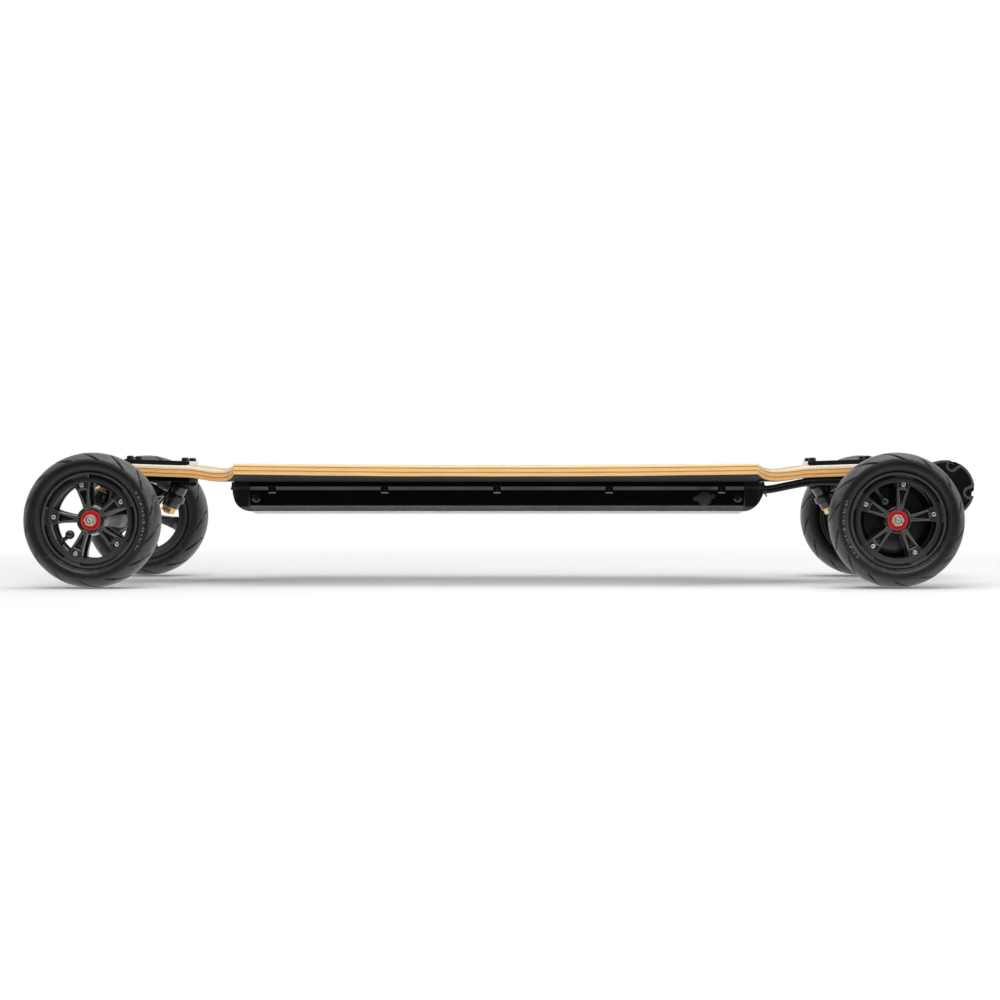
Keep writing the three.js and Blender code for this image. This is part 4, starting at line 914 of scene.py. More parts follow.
def build_socket():
    """The charging socket's barrel, its bezel, whose lower outer rim carries a painted highlight, its pin and its
    cap.
    """
    def put(name, shells, body, slot, material, replaces=()):
        piece(name, shifted(shells, SOCKET + BOARD_SHIFT, 0, SIDE_MIDDLE), body, slot, material, replaces)

    barrel = rounded([(7.9, -71), (7.9, -86.8), (6.8, -86.9), (6.8, -80.9), (1.0, -80.8)], 0.25, closed=False)
    put("charge_socket_shell", [turned(barrel, 48)], "board", "bright_steel", steel, ["charge_socket"])
    rim = [(7.6, -85.3), (9.5, -85.3), (9.5, -86.4), (9.3, -86.8), (8.75, -87.1), (7.6, -87.1)]
    points, faces, marks = turned(rim, 72, ring=True)
    reach = np.hypot(points[:, 0], points[:, 2])
    # Painted highlight on the lower half of the bezel's outer rim.
    marks["rub"] = eased(reach, 8.7, 0.4) * smooth_share(-points[:, 2] / 6 + 0.4)
    put("charge_socket_bezel", [(points, faces, marks)], "board", "case_black", case_gloss)
    pin = [(1.1, -80.0), (1.1, -85.0), (0.7, -85.6), (0.2, -85.7)]
    put("charge_socket_pin", [turned(pin, 20)], "board", "bright_steel", nut_plate)
    put("charge_cap_rubber", charge_cap_shells(), "charge_cap", "soft_rubber", cap_rubber, ["charge_cap"])


build_socket()


# ---------------------------------------------------------------- motor cable
def cable_route(lift):
    """The points of one sleeve, from the strain relief to the deck and back to the truck, as in the solid model."""
    def under(x):
        return float(deck_underside(np.array(x), np.array(float(CABLE_Y)))) - 2.85 - 2.7 - 0.25
    end = 492
    run = CURVE_END - CABLE_START
    x = [CABLE_START, CABLE_START + run * 0.25, CURVE_END, end - run * 0.5, end]
    z = [CABLE_Z, CABLE_Z, *(under(place) for place in x[2:])]
    return np.array([(a + BOARD_SHIFT, CABLE_Y, b + lift) for a, b in zip(x, z)])


def ribbed_block(x0, length, half_y, half_z, ribs):
    """A moulded relief along X, round the cable: its rounded section swells at each rib,
    half size (0.92 + 0.08 cos(2 pi ribs s)) and narrows by 0.22 s along its length."""
    s = np.linspace(0, 1, ribs * 8 + 1)[:, None]
    size = (1 - 0.22 * s) * (0.92 + 0.08 * np.cos(2 * math.pi * ribs * s))
    loop = rounded([(-half_y, -half_z), (half_y, -half_z), (half_y, half_z), (-half_y, half_z)],
                   min(half_y, half_z) * 0.7, 4)
    return shell(np.stack(np.broadcast_arrays(x0 + length * s, CABLE_Y + size * loop[:, 0],
                                              CABLE_Z + size * loop[:, 1]), -1))


def build_cable():
    """Two braided sleeves with a moulded strain relief, a nylon tie with its tail and button, and a clip at the far
    end."""
    def put(label, shells, material, replaces=()):
        piece(f"motor_cable_{label}", shells, "board", "cable_sleeve", material, replaces)

    sleeves = [tube(path_through(cable_route(lift), 90), 2.8, 18) for lift in (-2.7, 2.7)]
    put("sleeves", sleeves, braid, ["motor_cable"])
    start = CABLE_START + BOARD_SHIFT
    put("relief", [ribbed_block(start, 9, 4.9, 6.9, 3)], soft_rubber)
    x = start + 6.4
    strap = [(x, -47.4, 120.6), (x, -47.8, 127), (x, -47.0, 133.4), (x - 1.2, -46, 136.6)]
    tail = [(x + 0.4, -47.6, 121.4), (x + 2.2, -48.0, 120.4), (x + 3.4, -48.2, 118.4), (x + 3.6, -48.2, 116.6)]
    button = rounded([(0.5, -48.2), (3.9, -48.2), (3.9, -50.2), (2.6, -51.0), (0.5, -50.6)], 0.5, closed=False)
    tie = [tube(path_through(strap, 24), 1.5, 12, side=(1, 0, 0)), tube(path_through(tail, 24), 1.0, 12)]
    put("tie", tie + shifted([turned(button, 32)], x, 0, 126.3), nylon_black)
    end_x, _, end_z = cable_route(0.0)[-1]
    outline = [(-46.0, end_z - 6.6), (-38.0, end_z - 6.6), (-38.0, end_z + 5.7), (-46.0, end_z + 5.7)]
    put("clip", [slab_x(rounded(outline, 2.0), end_x - 7, end_x + 0.5, 0.8)], nylon_black)


build_cable()


# ---------------------------------------------------------------- truck frame
def stage(t, s):
    """A point of the first pivot stage: t along the pivot axis, s down the kingpin."""
    sin, cos = math.sin(KINGPIN_ANGLE), math.cos(KINGPIN_ANGLE)
    return KINGPIN_CROSS[0] + t * cos + s * sin, KINGPIN_CROSS[1] + t * sin - s * cos


def half_turned(points):
    """(x, z) points of the first stage taken to the second: half a turn at the middle of the carriage."""
    return [(2 * CARRIAGE_CENTRE[0] - x, 2 * CARRIAGE_CENTRE[1] - z) for x, z in points]


def along_kingpin(shells):
    """Stands shapes made about Y on the kingpin, with +Y up it."""
    sin, cos = math.sin(KINGPIN_ANGLE), math.cos(KINGPIN_ANGLE)
    return placed(shells, (cos, 0, sin), (-sin, 0, cos), (0, -1, 0), (KINGPIN_CROSS[0], 0, KINGPIN_CROSS[1]))


def along_pivot(shells):
    """Lays shapes made about Y on the pivot axis, with +Y towards the nose."""
    sin, cos = math.sin(KINGPIN_ANGLE), math.cos(KINGPIN_ANGLE)
    return placed(shells, (sin, 0, -cos), (cos, 0, sin), (0, -1, 0), (KINGPIN_CROSS[0], 0, KINGPIN_CROSS[1]))


def second(shells):
    """The second stage: half a turn about Y at the middle of the carriage."""
    return placed(shells, (-1, 0, 0), (0, 1, 0), (0, 0, -1), (2 * CARRIAGE_CENTRE[0], 0, 2 * CARRIAGE_CENTRE[1]))


def overturned(made):
    """One shape turned half a turn about X, so that its +Y end faces -Y."""
    return placed([made], (1, 0, 0), (0, -1, 0), (0, 0, -1), (0, 0, 0))[0]


def on_board(shells, end):
    """From a truck's own frame to the board: the rear one is only moved, the front one turned half a turn about Z as
    well."""
    return placed(shells, (end, 0, 0), (0, end, 0), (0, 0, 1), (end * PLATE_PLACE + BOARD_SHIFT, 0, 0))


def sloped(x, offset):
    """A height over the deck's underside at the plate, following the neck's slope."""
    return float(deck_underside(np.array(PLATE_PLACE), np.array(0.0))) + offset + NECK_SLOPE * x


def plate_outline(half, low, high, edge):
    """The side of a flat plate that lies along the neck."""
    return rounded([(x, sloped(x, z)) for x, z in [(-half, low), (half, low), (half, high), (-half, high)]], edge)


def box_profile(inner, outer, low, high):
    """A rectangle of (radius, y) corners."""
    return [(inner, low), (outer, low), (outer, high), (inner, high)]


def ring_of(radius, bore, low, high, edge, count=56):
    """A plain ring about Y with rounded rims."""
    return turned(rounded(box_profile(bore, radius, low, high), edge), count, ring=True)


def rod_of(radius, low, high, edge, count=40):
    """A plain rod about Y with rounded rims."""
    return turned(rounded(box_profile(0.3 * radius, radius, low, high), edge, closed=False), count)


def threaded(radius, low, high, pitch=1.25, count=28):
    """A threaded rod about Y: r = radius - 0.35 (1 + cos(2 pi y / pitch - a)) / 2, tapered at both ends."""
    y = np.linspace(low, high, max(4, int((high - low) / pitch * 6)))[:, None]
    a = full_turn(count)
    r = radius - 0.175 * (1 + np.cos(2 * math.pi * y / pitch - a))
    r = np.minimum(r, radius - 0.8 + np.minimum(y - low, high - y) * 1.2 + 0.1)
    return shell(about_y(r, y, a))


def kingpin_shells():
    """Shank, washer with a rolled edge, hexagon nut and threaded tip."""
    nut, tip = overturned(hexed(17, 14.55, 21.5, 5.0)), overturned(threaded(4.95, 19.0, 23.5))
    return along_kingpin([rod_of(5, -20.5, 26.6, 0.5), ring_of(11.3, 5.05, -14.5, -12.95, 0.5), nut, tip])


def bushing_shells(low, high, waisted):
    """A urethane bushing: a narrow end by its seat and a wide one by the ring, softly rounded rims. The tall one goes
    over to its full width half way."""
    middle = [(12.2, (low + high) / 2)] if waisted else []
    outline = [(5.3, low), (11.2, low), *middle, (12.3, high), (5.3, high)]
    return along_kingpin([turned(rounded(outline, 1.0, 4), 64, ring=True)])


def top_plate_shells():
    """The flat plate on the deck; its two cut ends are marked bare."""
    outline = plate_outline(PLATE_HALF, DECK_THICKNESS + 0.3, DECK_THICKNESS + PLATE_RISE, 0.6)
    points, faces, _ = slab(outline, -32, 32, 0.8, 3)
    return [(points, faces, {"bare": (np.abs(points[:, 0]) > PLATE_HALF - 0.08).astype(float)})]


def plate_bolts():
    """Four low black bolt heads on washers at the plate's corners, and their flanged nuts under the base plate."""
    head = [socket_screw(4.9, 3.9, 0.9, 1, 2.5), ring_of(5.6, 2.0, 0, 0.9, 0.25, 32)]
    nut = [hexed(10, 0.8, 5.2, 2.9), ring_of(6.2, 2.8, 0, 0.9, 0.25, 32), threaded(2.9, 0.0, 6.6, 1.0, 20)]
    shells = []
    for x in (-37.5, 37.5):
        for y in (-25, 25):
            seat, under = sloped(x, DECK_THICKNESS + PLATE_RISE), sloped(x, -BASE_DROP)
            shells += placed(head, (1, 0, 0), (0, 0, 1), (0, -1, 0), (x, y, seat))
            shells += placed(nut, (1, 0, 0), (0, 0, -1), (0, 1, 0), (x, y, under))
    return shells


def pivot_cup():
    """The cup that holds the carriage's nose, on the pivot axis."""
    profile = rounded([(5.9, 42), (8.5, 42), (8.5, 54), (2, 54), (2, 51), (5.9, 50.6)], 0.4)
    return along_pivot([turned(profile, 48, ring=True)])


def base_plate_shells():
    """The plate under the deck with the kingpin's seat and the pivot cup. Both are set into the plate's underside."""
    flat = slab(plate_outline(44, -BASE_DROP, -0.3, 0.8), -32, 32, 1.2, 3)
    rim = rounded([(14, 19), (14, 26.6), (10, 26.6)], 0.4, closed=False)[::-1].tolist()
    seat = along_kingpin([turned(rim + [(5.4, 26.4), (5.4, 19), (14, 19)], 56, ring=True)])
    front, back = stage(53.6, 0)[0], stage(42.5, 0)[0]
    foot = [stage(42.5, -8.2), stage(53.6, -8.2), (front + 1.5, sloped(front, -5)), (back - 5, sloped(back, -5))]
    return [flat, *seat, *pivot_cup(), slab(rounded(foot, 0.8), -7.2, 7.2, 0.8)]


def carriage_shells():
    """The middle piece: one slanted beam, a ring round each kingpin and a nose in each pivot cup."""
    low = stage(13.3, 3.3)
    side = [stage(10, -4.7), stage(38, -5), stage(38, 5), stage(36, 10)]
    beam = slab(rounded([*side, *half_turned([low, *side]), low], 1.2), -14, 14, 1.4, 4)
    nose = rounded([(1, 33), (5.5, 33), (5.5, 48.4), (3.6, 50.2), (1, 50.2)], 1.0, closed=False)
    ring, nose = along_kingpin([ring_of(15, 6.5, -3.3, 4.7, 0.9)]), along_pivot([turned(nose, 40)])
    return [beam, *ring, *second(ring), *nose, *second(nose)]


def hanger_shells(driven):
    """The axle carrier: a block round the kingpin's seat, cheeks beside the carriage, tapered arms and spindles.
    The driven one has a plate for each motor."""
    start, back = [(-15, 19), (15, 19)], [(54, 9.5), (54, 22), (42, 25), (10, 29), (-15, 29)]
    cheek = half_turned(stage(*p) for p in [*start, (17, 9.5), *back])
    block = half_turned(stage(*p) for p in [*start, (15.3, 9.5), (17, 19), (41.7, 19), (42, 10), *back])
    shells = [slab(rounded(block, 0.6, 2), -16.2, 16.2, 0.2)]
    shells += [slab(rounded(cheek, 1.2), *span, 0.9, 3) for span in ((-19.0, -16.0), (16.0, 19.0))]
    arm = np.array([(0.8, 178.2), (3.4, 178.2), (4.0, 177.4), (4.0, 171.4), (5.0, 171.0), (5.0, 148.2), (7.0, 147.8),
                    (7.0, 116.6), (9.6, 116.2), (10.0, 115.4), (10.2, 108), (10.8, 60), (11.6, 26), (13.2, 20),
                    (13.4, 17)])
    both = np.vstack([arm, (arm * [1, -1])[::-1]])
    shells += [*second(pivot_cup()), *shifted([turned(both, 56)], AXLE[0], 0, AXLE[1])]
    if driven:
        angles = full_turn(160)
        loop = polar_loop(reach_of(wrapped(AXLE, 20, MOTOR, 28), MOTOR, angles), MOTOR, angles)
        for side in (-1, 1):
            shells.append(pierced(loop, circle(MOTOR, 13, 160), *sorted((side * 112.0, side * 117.0)), 0.8, 3))
            clamp = [(14.0, side * 100.5), (14.0, side * 112.0), (10.0, side * 112.0), (10.0, side * 100.5)]
            shells += shifted([turned(rounded(clamp, 0.6), 48, ring=True)], AXLE[0], 0, AXLE[1])
    return shells


def wrapped(near, near_radius, far, far_radius, count=96):
    """The outline round two circles, as a belt wraps its pulleys."""
    heading = math.atan2(far[1] - near[1], far[0] - near[0])
    lean = math.acos((near_radius - far_radius) / math.hypot(far[0] - near[0], far[1] - near[1]))
    big = np.linspace(heading + lean, heading + 2 * math.pi - lean, count)
    small = np.linspace(heading - lean, heading + lean, count // 2)
    return np.concatenate([polar_loop(near_radius, near, big), polar_loop(far_radius, far, small)])


def build_truck(name, end):
    """All pieces of one truck but its wheels. Each bushing is given the two bodies that squeeze it and its two end
    points, and is baked in place.
    """
    put = putter(name, lambda shells: on_board(shells, end))
    carriage, hanger = f"{name}_carriage", f"{name}_hanger"
    put("top_plate_cover", top_plate_shells(), "board", "forged_black", top_coat, "top_plate")
    put("plate_bolts", plate_bolts(), "board", "forged_black", screw_black)
    put("base_plate_casting", base_plate_shells(), "board", "forged_black", base_coat, "base_plate")
    put("inner_kingpin_bolt", kingpin_shells(), "board", "gold_steel", gold, "inner_kingpin")
    put("outer_kingpin_bolt", second(kingpin_shells()), hanger, "gold_steel", gold, "outer_kingpin")
    put("carriage_casting", carriage_shells(), carriage, "forged_black", forged, "carriage")
    put("hanger_casting", hanger_shells(end > 0), hanger, "forged_black", forged, "hanger")

    def bushing(label, shells, holder, low, high):
        points = [stage(0, -low), stage(0, -high)]
        if holder == hanger:
            shells, points = second(shells), half_turned(points)
        start, stop = [np.array([end * (PLATE_PLACE + x) + BOARD_SHIFT, 0, z]) for x, z in points]
        body = (holder, carriage, start, stop)
        put(f"{label}_bushing_urethane", shells, body, "urethane", urethane, f"{label}_bushing")

    tall, short = bushing_shells(5.0, 18.7, True), bushing_shells(-12.6, -3.6, False)
    bushing("inner_upper", tall, "board", 17.5, 6.5)
    bushing("inner_lower", short, "board", -11.5, -4.5)
    bushing("outer_lower", tall, hanger, 17.5, 6.5)
    bushing("outer_upper", short, hanger, -11.5, -4.5)


build_truck("front", -1)
build_truck("rear", 1)


# ---------------------------------------------------------------- wheels
def turned_by(shells, angle):
    """Turns shells about Y."""
    cos, sin = math.cos(angle), math.sin(angle)
    return placed(shells, (cos, 0, sin), (0, 1, 0), (-sin, 0, cos), (0, 0, 0))


def wheel_place(name):
    """Basis and middle of a wheel: its own -Y faces outwards."""
    end = 1 if name.startswith("rear") else -1
    turn = 1 if name.endswith("left") else -1
    x = end * (PLATE_PLACE + AXLE[0]) + BOARD_SHIFT
    return (turn, 0, 0), (0, turn, 0), (0, 0, 1), (x, -turn * TRACK_HALF, AXLE[1])


def wall_marks(middle):
    """A plain band of raised bars on the outer wall. Their width, length and spacing go up and down with the sine of
    their number."""
    shells = []
    for k in range(26):
        turn = middle + math.radians(2.5) * (k - 12.5 + 0.25 * math.sin(k * 2.4))
        wide = 0.55 + 0.25 * math.sin(k * 1.7)
        low, high = 69.9 + 0.6 * math.sin(k * 3.1), 72.6 + 0.6 * math.sin(k * 4.3)
        bar = rounded([(low, -wide), (high, -wide), (high, wide), (low, wide)], 0.2)
        shells += turned_by([slab(bar, -25.1, -24.2, 0.15)], turn)
    return shells


# Half of the tyre's section from the crown to the bead, as (radius, half width), and its inside from bead to bead.
TYRE_HALF = [
    (87.5, 0), (87.45, 3), (87.2, 7), (86.7, 11), (85.8, 14.7), (84.2, 18.5), (82.0, 21.6), (79.6, 23.6),
    (78.0, 24.3), (77.2, 24.45), (76.7, 24.4), (76.3, 24.75), (75.7, 24.95), (73, 25.0), (70.5, 24.65),
    (68.2, 23.9), (66.9, 23.1), (66.3, 22.3), (65.6, 22.3), (65.0, 21.6), (63.6, 19.2), (62.7, 16.9),
    (62.3, 15.4), (61.6, 15.1), (60.2, 15.0), (59.95, 13.5), (60.0, 8.6)]
TYRE_INSIDE = [(62.5, 9.5), (68, 18.5), (74, 19.5), (80, 15), (82, 8), (82, -8), (80, -15), (74, -19.5), (68, -18.5),
               (62.5, -9.5)]


def tyre_shells(sense, phase):
    """A tyre: its section, a smooth path from bead to bead, is carried round the axle. Column a stands at the angle
    a + sense * sweep * s^2, where s is the share of the way from the crown to the shoulder, so that columns run along
    the fourteen slanted grooves of each side. A groove is sunk by its distance from a column; ribs on the wall mark
    the mould's joints. Near a groove the columns stand close, in proportion to its width across the slant."""
    half = np.array(TYRE_HALF)
    outer = np.vstack([half[::-1] * [1, -1], half[1:]])
    fine = path_through(np.column_stack([outer, np.zeros(len(outer))]), 3000)[:, :2]
    run = np.concatenate([[0], np.cumsum(np.linalg.norm(np.diff(fine, axis=0), axis=1))])
    middle, tread_end, shoulder = run[-1] / 2, 29.5, 25.5
    wall = np.append(np.arange(tread_end + 0.5, middle, 1.15), middle)
    stations = np.unique(np.concatenate([np.arange(-tread_end, tread_end + 0.01, 0.82), wall, -wall]).round(3))
    radius, place = (np.interp(stations + middle, run, fine[:, k])[:, None] for k in (0, 1))
    s = ramp(np.abs(stations)[:, None], 2.5, shoulder)

    sweep, pitch, joint = math.radians(19.5), 2 * math.pi / GROOVES, math.pi / 3
    slant = 1 / np.sqrt(1 + (82 * sweep * 2 * s / shoulder) ** 2)
    close = np.array([3.0, 1.9, 1.45, 1.1, 0.55])
    near_end, cell = 4.0 / TREAD_RADIUS, pitch / 4
    near = np.concatenate([[-near_end], -close / TREAD_RADIUS, [0], close[::-1] / TREAD_RADIUS, [near_end]])
    sides = np.arange(2 * GROOVES) * pitch / 2
    joints = np.arange(6) * joint + math.radians(42) - phase - sense * sweep
    ticks = joints[:, None] + np.array([-1.1, -0.5, 0, 0.5, 1.1]) / 72
    base = np.concatenate([(sides[:, None] + near).ravel(), sides + cell, ticks.ravel()])
    base = np.unique(np.mod(base, 2 * math.pi).round(5))
    centre = np.round(base / (pitch / 2)) * (pitch / 2)
    from_centre = base - centre
    narrow = np.clip(s * 7, 0.3, 1) * np.clip((1.06 - s) * 7, 0.3, 1) * (s < 1) + (s >= 1)
    widen = narrow / slant
    inside = np.minimum(np.abs(from_centre), near_end) * widen
    outside = np.maximum(np.abs(from_centre) - near_end, 0) * (cell - near_end * widen) / (cell - near_end)
    a = centre + np.sign(from_centre) * (inside + outside)
    angle = a + sense * sweep * s ** 2

    lead = np.where(stations[:, None] < 0, 0.0, 0.5) * pitch
    off = np.abs(np.mod(base - lead + pitch / 2, pitch) - pitch / 2) * TREAD_RADIUS
    deep = ramp(s, 0, 1 / 9) * ramp(s, 1, -1 / 9)
    groove = smooth_share((1.42 - off) / 0.34 + 0.5) * deep
    tick = np.abs(np.mod(angle - math.radians(42) + phase + joint / 2, joint) - joint / 2) * 72
    rib = eased(tick, 1.0, -0.7) * eased(radius, 67.5, 1.5) * eased(radius, 76.4, -1.0)
    r = radius - 2.4 * groove * np.where(radius > 80, 1, 0.75)
    y = place - np.sign(place) * (0.8 * groove * (radius < TREAD_RADIUS) + 0.45 * rib)

    inner = np.array(TYRE_INSIDE)[:, :, None] + np.zeros(base.size)
    r, y = np.concatenate([r, inner[:, 0]]), np.concatenate([y, inner[:, 1]])
    angle = np.concatenate([angle, np.broadcast_to(angle[-1], inner[:, 0].shape)])
    pad = np.zeros(inner[:, 0].shape)
    tread = eased(radius, 76.6, 2.2) + 0 * groove
    # The groove mark darkens the grooves with painted shade.
    marks = {"groove": np.concatenate([groove, pad]), "tread": np.concatenate([tread, pad])}
    return [shell(about_y(r, y, angle), wrap=True, marks=marks)]


# The rim's barrel and face ring, as (radius, place on Y).
RIM_PROFILE = [
    (61.5, 18), (61.9, 17.4), (61.5, 15.5), (59.9, 15.5), (59.5, 14.8), (59.5, 0.2), (54.6, 0.2), (54.4, 0.6),
    (54.4, 6), (52.2, 10.6), (51.2, 12.6), (49.2, 13.0), (49.0, 13.4), (49.0, 17.2), (49.5, 17.9), (54.7, 18),
    (55.3, 17.9), (55.5, 17.6), (58.6, 17.6), (58.8, 17.9), (59.4, 18)]


def spoke_ring(sign, phase):
    """The rim's barrel and face ring, carried round the axle. On the outer half, the front of the channel between its
    two rings is sunk over five arcs, between the screws. Edges are marked for a painted highlight and the arcs'
    floors for painted shade."""
    a = full_turn(360)
    r, y = np.array(RIM_PROFILE, float).T[:, :, None]
    from_screw = np.mod(a - phase + math.pi / 5, 2 * math.pi / 5) - math.pi / 5
    arc = eased(np.abs(from_screw), math.radians(11.5), math.radians(1.2)) * (sign < 0)
    floor = np.zeros(r.shape)
    floor[17:19] = 1
    slot = arc * floor
    # Painted highlights on the ring's lips and edges; the arcs' floors get painted shade.
    painted_rim_light = np.zeros(r.shape)
    painted_rim_light[[11, 12, 13, 14, 18, 19, 20, 0, 1], 0] = [0.5, 0.7, 0.9, 0.6, 0.6, 1, 1, 1, 0.6]
    points = about_y(r, sign * (y - 5.6 * slot), a)
    return shell(points, wrap=True, marks={"groove": slot, "rub": painted_rim_light * (1 - slot)})


def grooved(made):
    """Marks a whole shape as a dark recess: painted shade."""
    made[2]["groove"] = np.ones(len(made[0]))
    return made


def spoke_shells(sign, phase):
    """Five spokes. On the outer half each is a frame whose hole is a long triangle, and a pad with a round pocket for
    its screw, both with painted highlights on their outer rims and dark floors of painted shade; on the inner half
    they are plain."""
    outer = [(14.5, -4.3), (30, -5.9), (43, -8.3), (43, 8.3), (30, 5.9), (14.5, 4.3)]
    outer = rounded(outer, [0.5, 8, 1, 1, 8, 0.5], 4)
    pad_outline = rounded([(40.5, -7.6), (52, -11.2), (52, 11.2), (40.5, 7.6)], 0.8, 3)
    if sign < 0:
        inner = [(20.5, -0.7), (30, -2.6), (39.5, -4.9), (39.5, 4.9), (30, 2.6), (20.5, 0.7)]
        inner = rounded(inner, [0.5, 6, 1.2, 1.2, 6, 0.5], 4)
        angles, screw = full_turn(96), (RIM_SCREWS, 0)
        pad = polar_loop(reach_of(pad_outline, screw, angles), screw, angles)
        # Painted highlights on the outer rims of frames and pads; their floors are dark with painted shade.
        made = [grooved(slab(inset(inner, -0.6), -11.2, -9.4, 0.2)), pierced(outer, inner, -17, -9, 1.3, 3, 0.9),
                pierced(pad, circle(screw, 5.3, 96), -17.6, -9, 0.5, 3, 0.2),
                grooved(slab(circle(screw, 5.8, 40), -14.6, -9.2, 0.1))]
    else:
        made = [slab(outer, 9, 17, 0.9, 3), slab(pad_outline, 9, 17.2, 0.7, 2)]
    return [spoke for k in range(5) for spoke in turned_by(made, phase + k * 2 * math.pi / 5)]


def hub_shell(sign):
    """The hub: a boss with a chamfered rim, bored for the bearing on the outside."""
    if sign < 0:
        profile = [(16.2, -14.5), (17.4, -13.9), (17.9, -12.6), (18.6, -9.0), (19.6, -5.0), (20.0, -0.2), (8, -0.2),
                   (8, -2.7), (13.2, -2.7), (13.2, -13.6), (13.7, -14.2), (14.3, -14.5)]
    else:
        profile = [(16.4, 14.5), (17.7, 13.6), (18.6, 9.0), (19.6, 5), (20.0, 0.2), (8, 0.2), (8, 13.9), (8.6, 14.5)]
    return turned(rounded(profile, 0.25, 2), 72, ring=True)


def rim_half(sign, phase):
    """One cast half of the rim: -1 for the outer one, 1 for the inner one."""
    return [spoke_ring(sign, phase), hub_shell(sign), *spoke_shells(sign, phase)]


def valve_shells(angle, reach):
    """A bent tyre valve: a rubber root on the barrel, a stem that turns outwards, and a round cap that stands at the
    reach."""
    path = [(54.2, -4.5, 0), (47, -4.5, 0), (reach + 6.8, -4.6, 0), (reach + 2, -5.6, 0), (reach, -9.0, 0)]
    sizes = np.interp(np.linspace(0, 1, 40), [0, 0.18, 0.3, 0.34, 1], [5.0, 4.6, 3.9, 2.7, 2.7])
    stem = tube(path_through(path, 40), sizes, 20, side=(0, 0, 1))
    cap = [(0.6, -6.6), (3.8, -6.8), (5.2, -8.0), (5.9, -10.2), (5.6, -12.6), (4.6, -14.5), (2.8, -15.8),
           (0.6, -16.3)]
    return turned_by([stem, *shifted([turned(cap, 40)], reach)], angle)


def toothed(teeth, depth, rows, per_tooth=8):
    """A toothed ring about Y from rows of (radius, y, share of the depth). r = radius - depth (1 - land), where land
    is a rounded square wave of the angle."""
    a = full_turn(teeth * per_tooth)
    land = smooth_share(np.cos(teeth * a) * 1.4 + 0.5)
    radius, y, share = np.array(rows, float).T[:, :, None]
    return shell(about_y(radius - depth * (1 - land) * share, y, a), wrap=True)


def pulley_shells():
    """The wheel's pulley: a toothed rim with two flanges, a web with a boss that reaches the rim."""
    rim = toothed(66, 1.7, [(52.5, 41.8, 1), (52.5, 30.4, 1), (52.5, 30.2, 0), (48, 30.1, 0), (46.5, 30.6, 0),
                            (46.5, 41.6, 0), (47, 42, 0), (52, 42, 0)])
    web = [(8.2, 18.4), (40, 18.4), (40, 30.2), (48, 30.2), (48, 34), (20, 34), (20, 32.6), (8.2, 32.6)]
    return [rim, turned(rounded(web, 0.5), 80, ring=True)]


# For each wheel, in degrees: a screw, the start of the tread, and the valve; then the valve's reach and the middle of
# the band of raised bars.
WHEELS = {"front_left": (30.8, 99.0, 214.8, 32.6, 0), "front_right": (50.0, 60.0, 160.0, 32.6, 0),
          "rear_left": (9.6, 103.0, 124.6, 29.3, 191), "rear_right": (66.0, 20.0, 300.0, 32.6, 191)}


def build_wheel(name, screw, tread, valve, valve_reach, marks):
    """One wheel: tyre, two rim halves, screws, bearing, nut, valve, and a pulley where it is driven."""
    place = wheel_place(name)
    put = putter(name, lambda shells: placed(shells, *place))
    body, hanger = f"{name}_wheel", name.split("_")[0] + "_hanger"
    sense = -1 if name.endswith("left") else 1
    phase, tread = math.radians(screw), math.radians(tread)

    tyre = turned_by(tyre_shells(sense, tread), tread)
    put("tyre_rubber", tyre, body, "tyre_rubber", tyre_rubber, "tyre", 40)
    put("rim_outer_casting", rim_half(-1, phase), body, "cast_black", rim_black, "rim_outer_half")
    put("rim_inner_casting", rim_half(1, phase), body, "cast_black", rim_black, "rim_inner_half")
    put("tyre_marks", wall_marks(math.radians(marks)), body, "tyre_rubber", mark_rubber)
    screws = []
    for k in range(5):
        x, z = spot((0, 0), RIM_SCREWS, screw + k * 72)
        screws += shifted([socket_screw(3.2, 2.9, -14.6, -1, 1.15)], x, 0, z)
    put("rim_screws", screws, body, "bright_steel", steel)
    races = [ring_of(13, 11.6, -11.0, -3.0, 0.35), ring_of(7.4, 5.3, -11.0, -3.0, 0.3)]
    put("bearing_races", races, body, "bright_steel", steel, "bearing")
    shield = [(7.4, -10.6), (8.6, -10.9), (9.2, -10.75), (11.2, -10.8), (11.7, -11.05), (12.75, -11.1),
              (12.75, -10.3), (7.4, -10.2)]
    pressed = {"band": np.array([0, 0, 0, 0.2, 0.7, 1, 1, 0])[:, None]}
    put("bearing_shield", [turned(shield, 72, ring=True, marks=pressed)], body, "seal_red", shield_red)
    nut = [hexed(13, -18.1, -11.9, 5.5), ring_of(7.6, 4.4, -12.1, -11.3, 0.2, 40)]
    put("axle_nut_hex", nut, hanger, "bright_steel", nut_plate, "axle_nut")
    put("axle_nut_collar", [ring_of(5.15, 3.95, -19.2, -12.2, 0.45, 40)], hanger, "bright_steel", steel)
    face = [(0.3, -16.5), (1.25, -18.0), (1.35, -20.6), (1.8, -21.0), (2.9, -21.0), (3.6, -20.2), (3.6, -17.6)]
    put("axle_end", [turned(rounded(face, 0.2, closed=False), 40)], hanger, "bright_steel", steel)
    put("axle_thread", [overturned(threaded(4.0, 10.9, 20.1, 1.25, 32))], hanger, "bright_steel", steel)
    put("tyre_valve", valve_shells(math.radians(valve), valve_reach), body, "soft_rubber", nylon_black)
    if name.startswith("rear"):
        put("wheel_pulley_teeth", pulley_shells(), body, "cast_black", rim_black, "wheel_pulley")


for wheel_name, settings in WHEELS.items():
    build_wheel(wheel_name, *settings)


# ---------------------------------------------------------------- belt drive
def cover_places(near, far):
    """The two places near the motor where the cover makes room for a big screw, at those reaches from the motor."""
    return [spot(MOTOR, near, 74.8), spot(MOTOR, far, -9.5)]


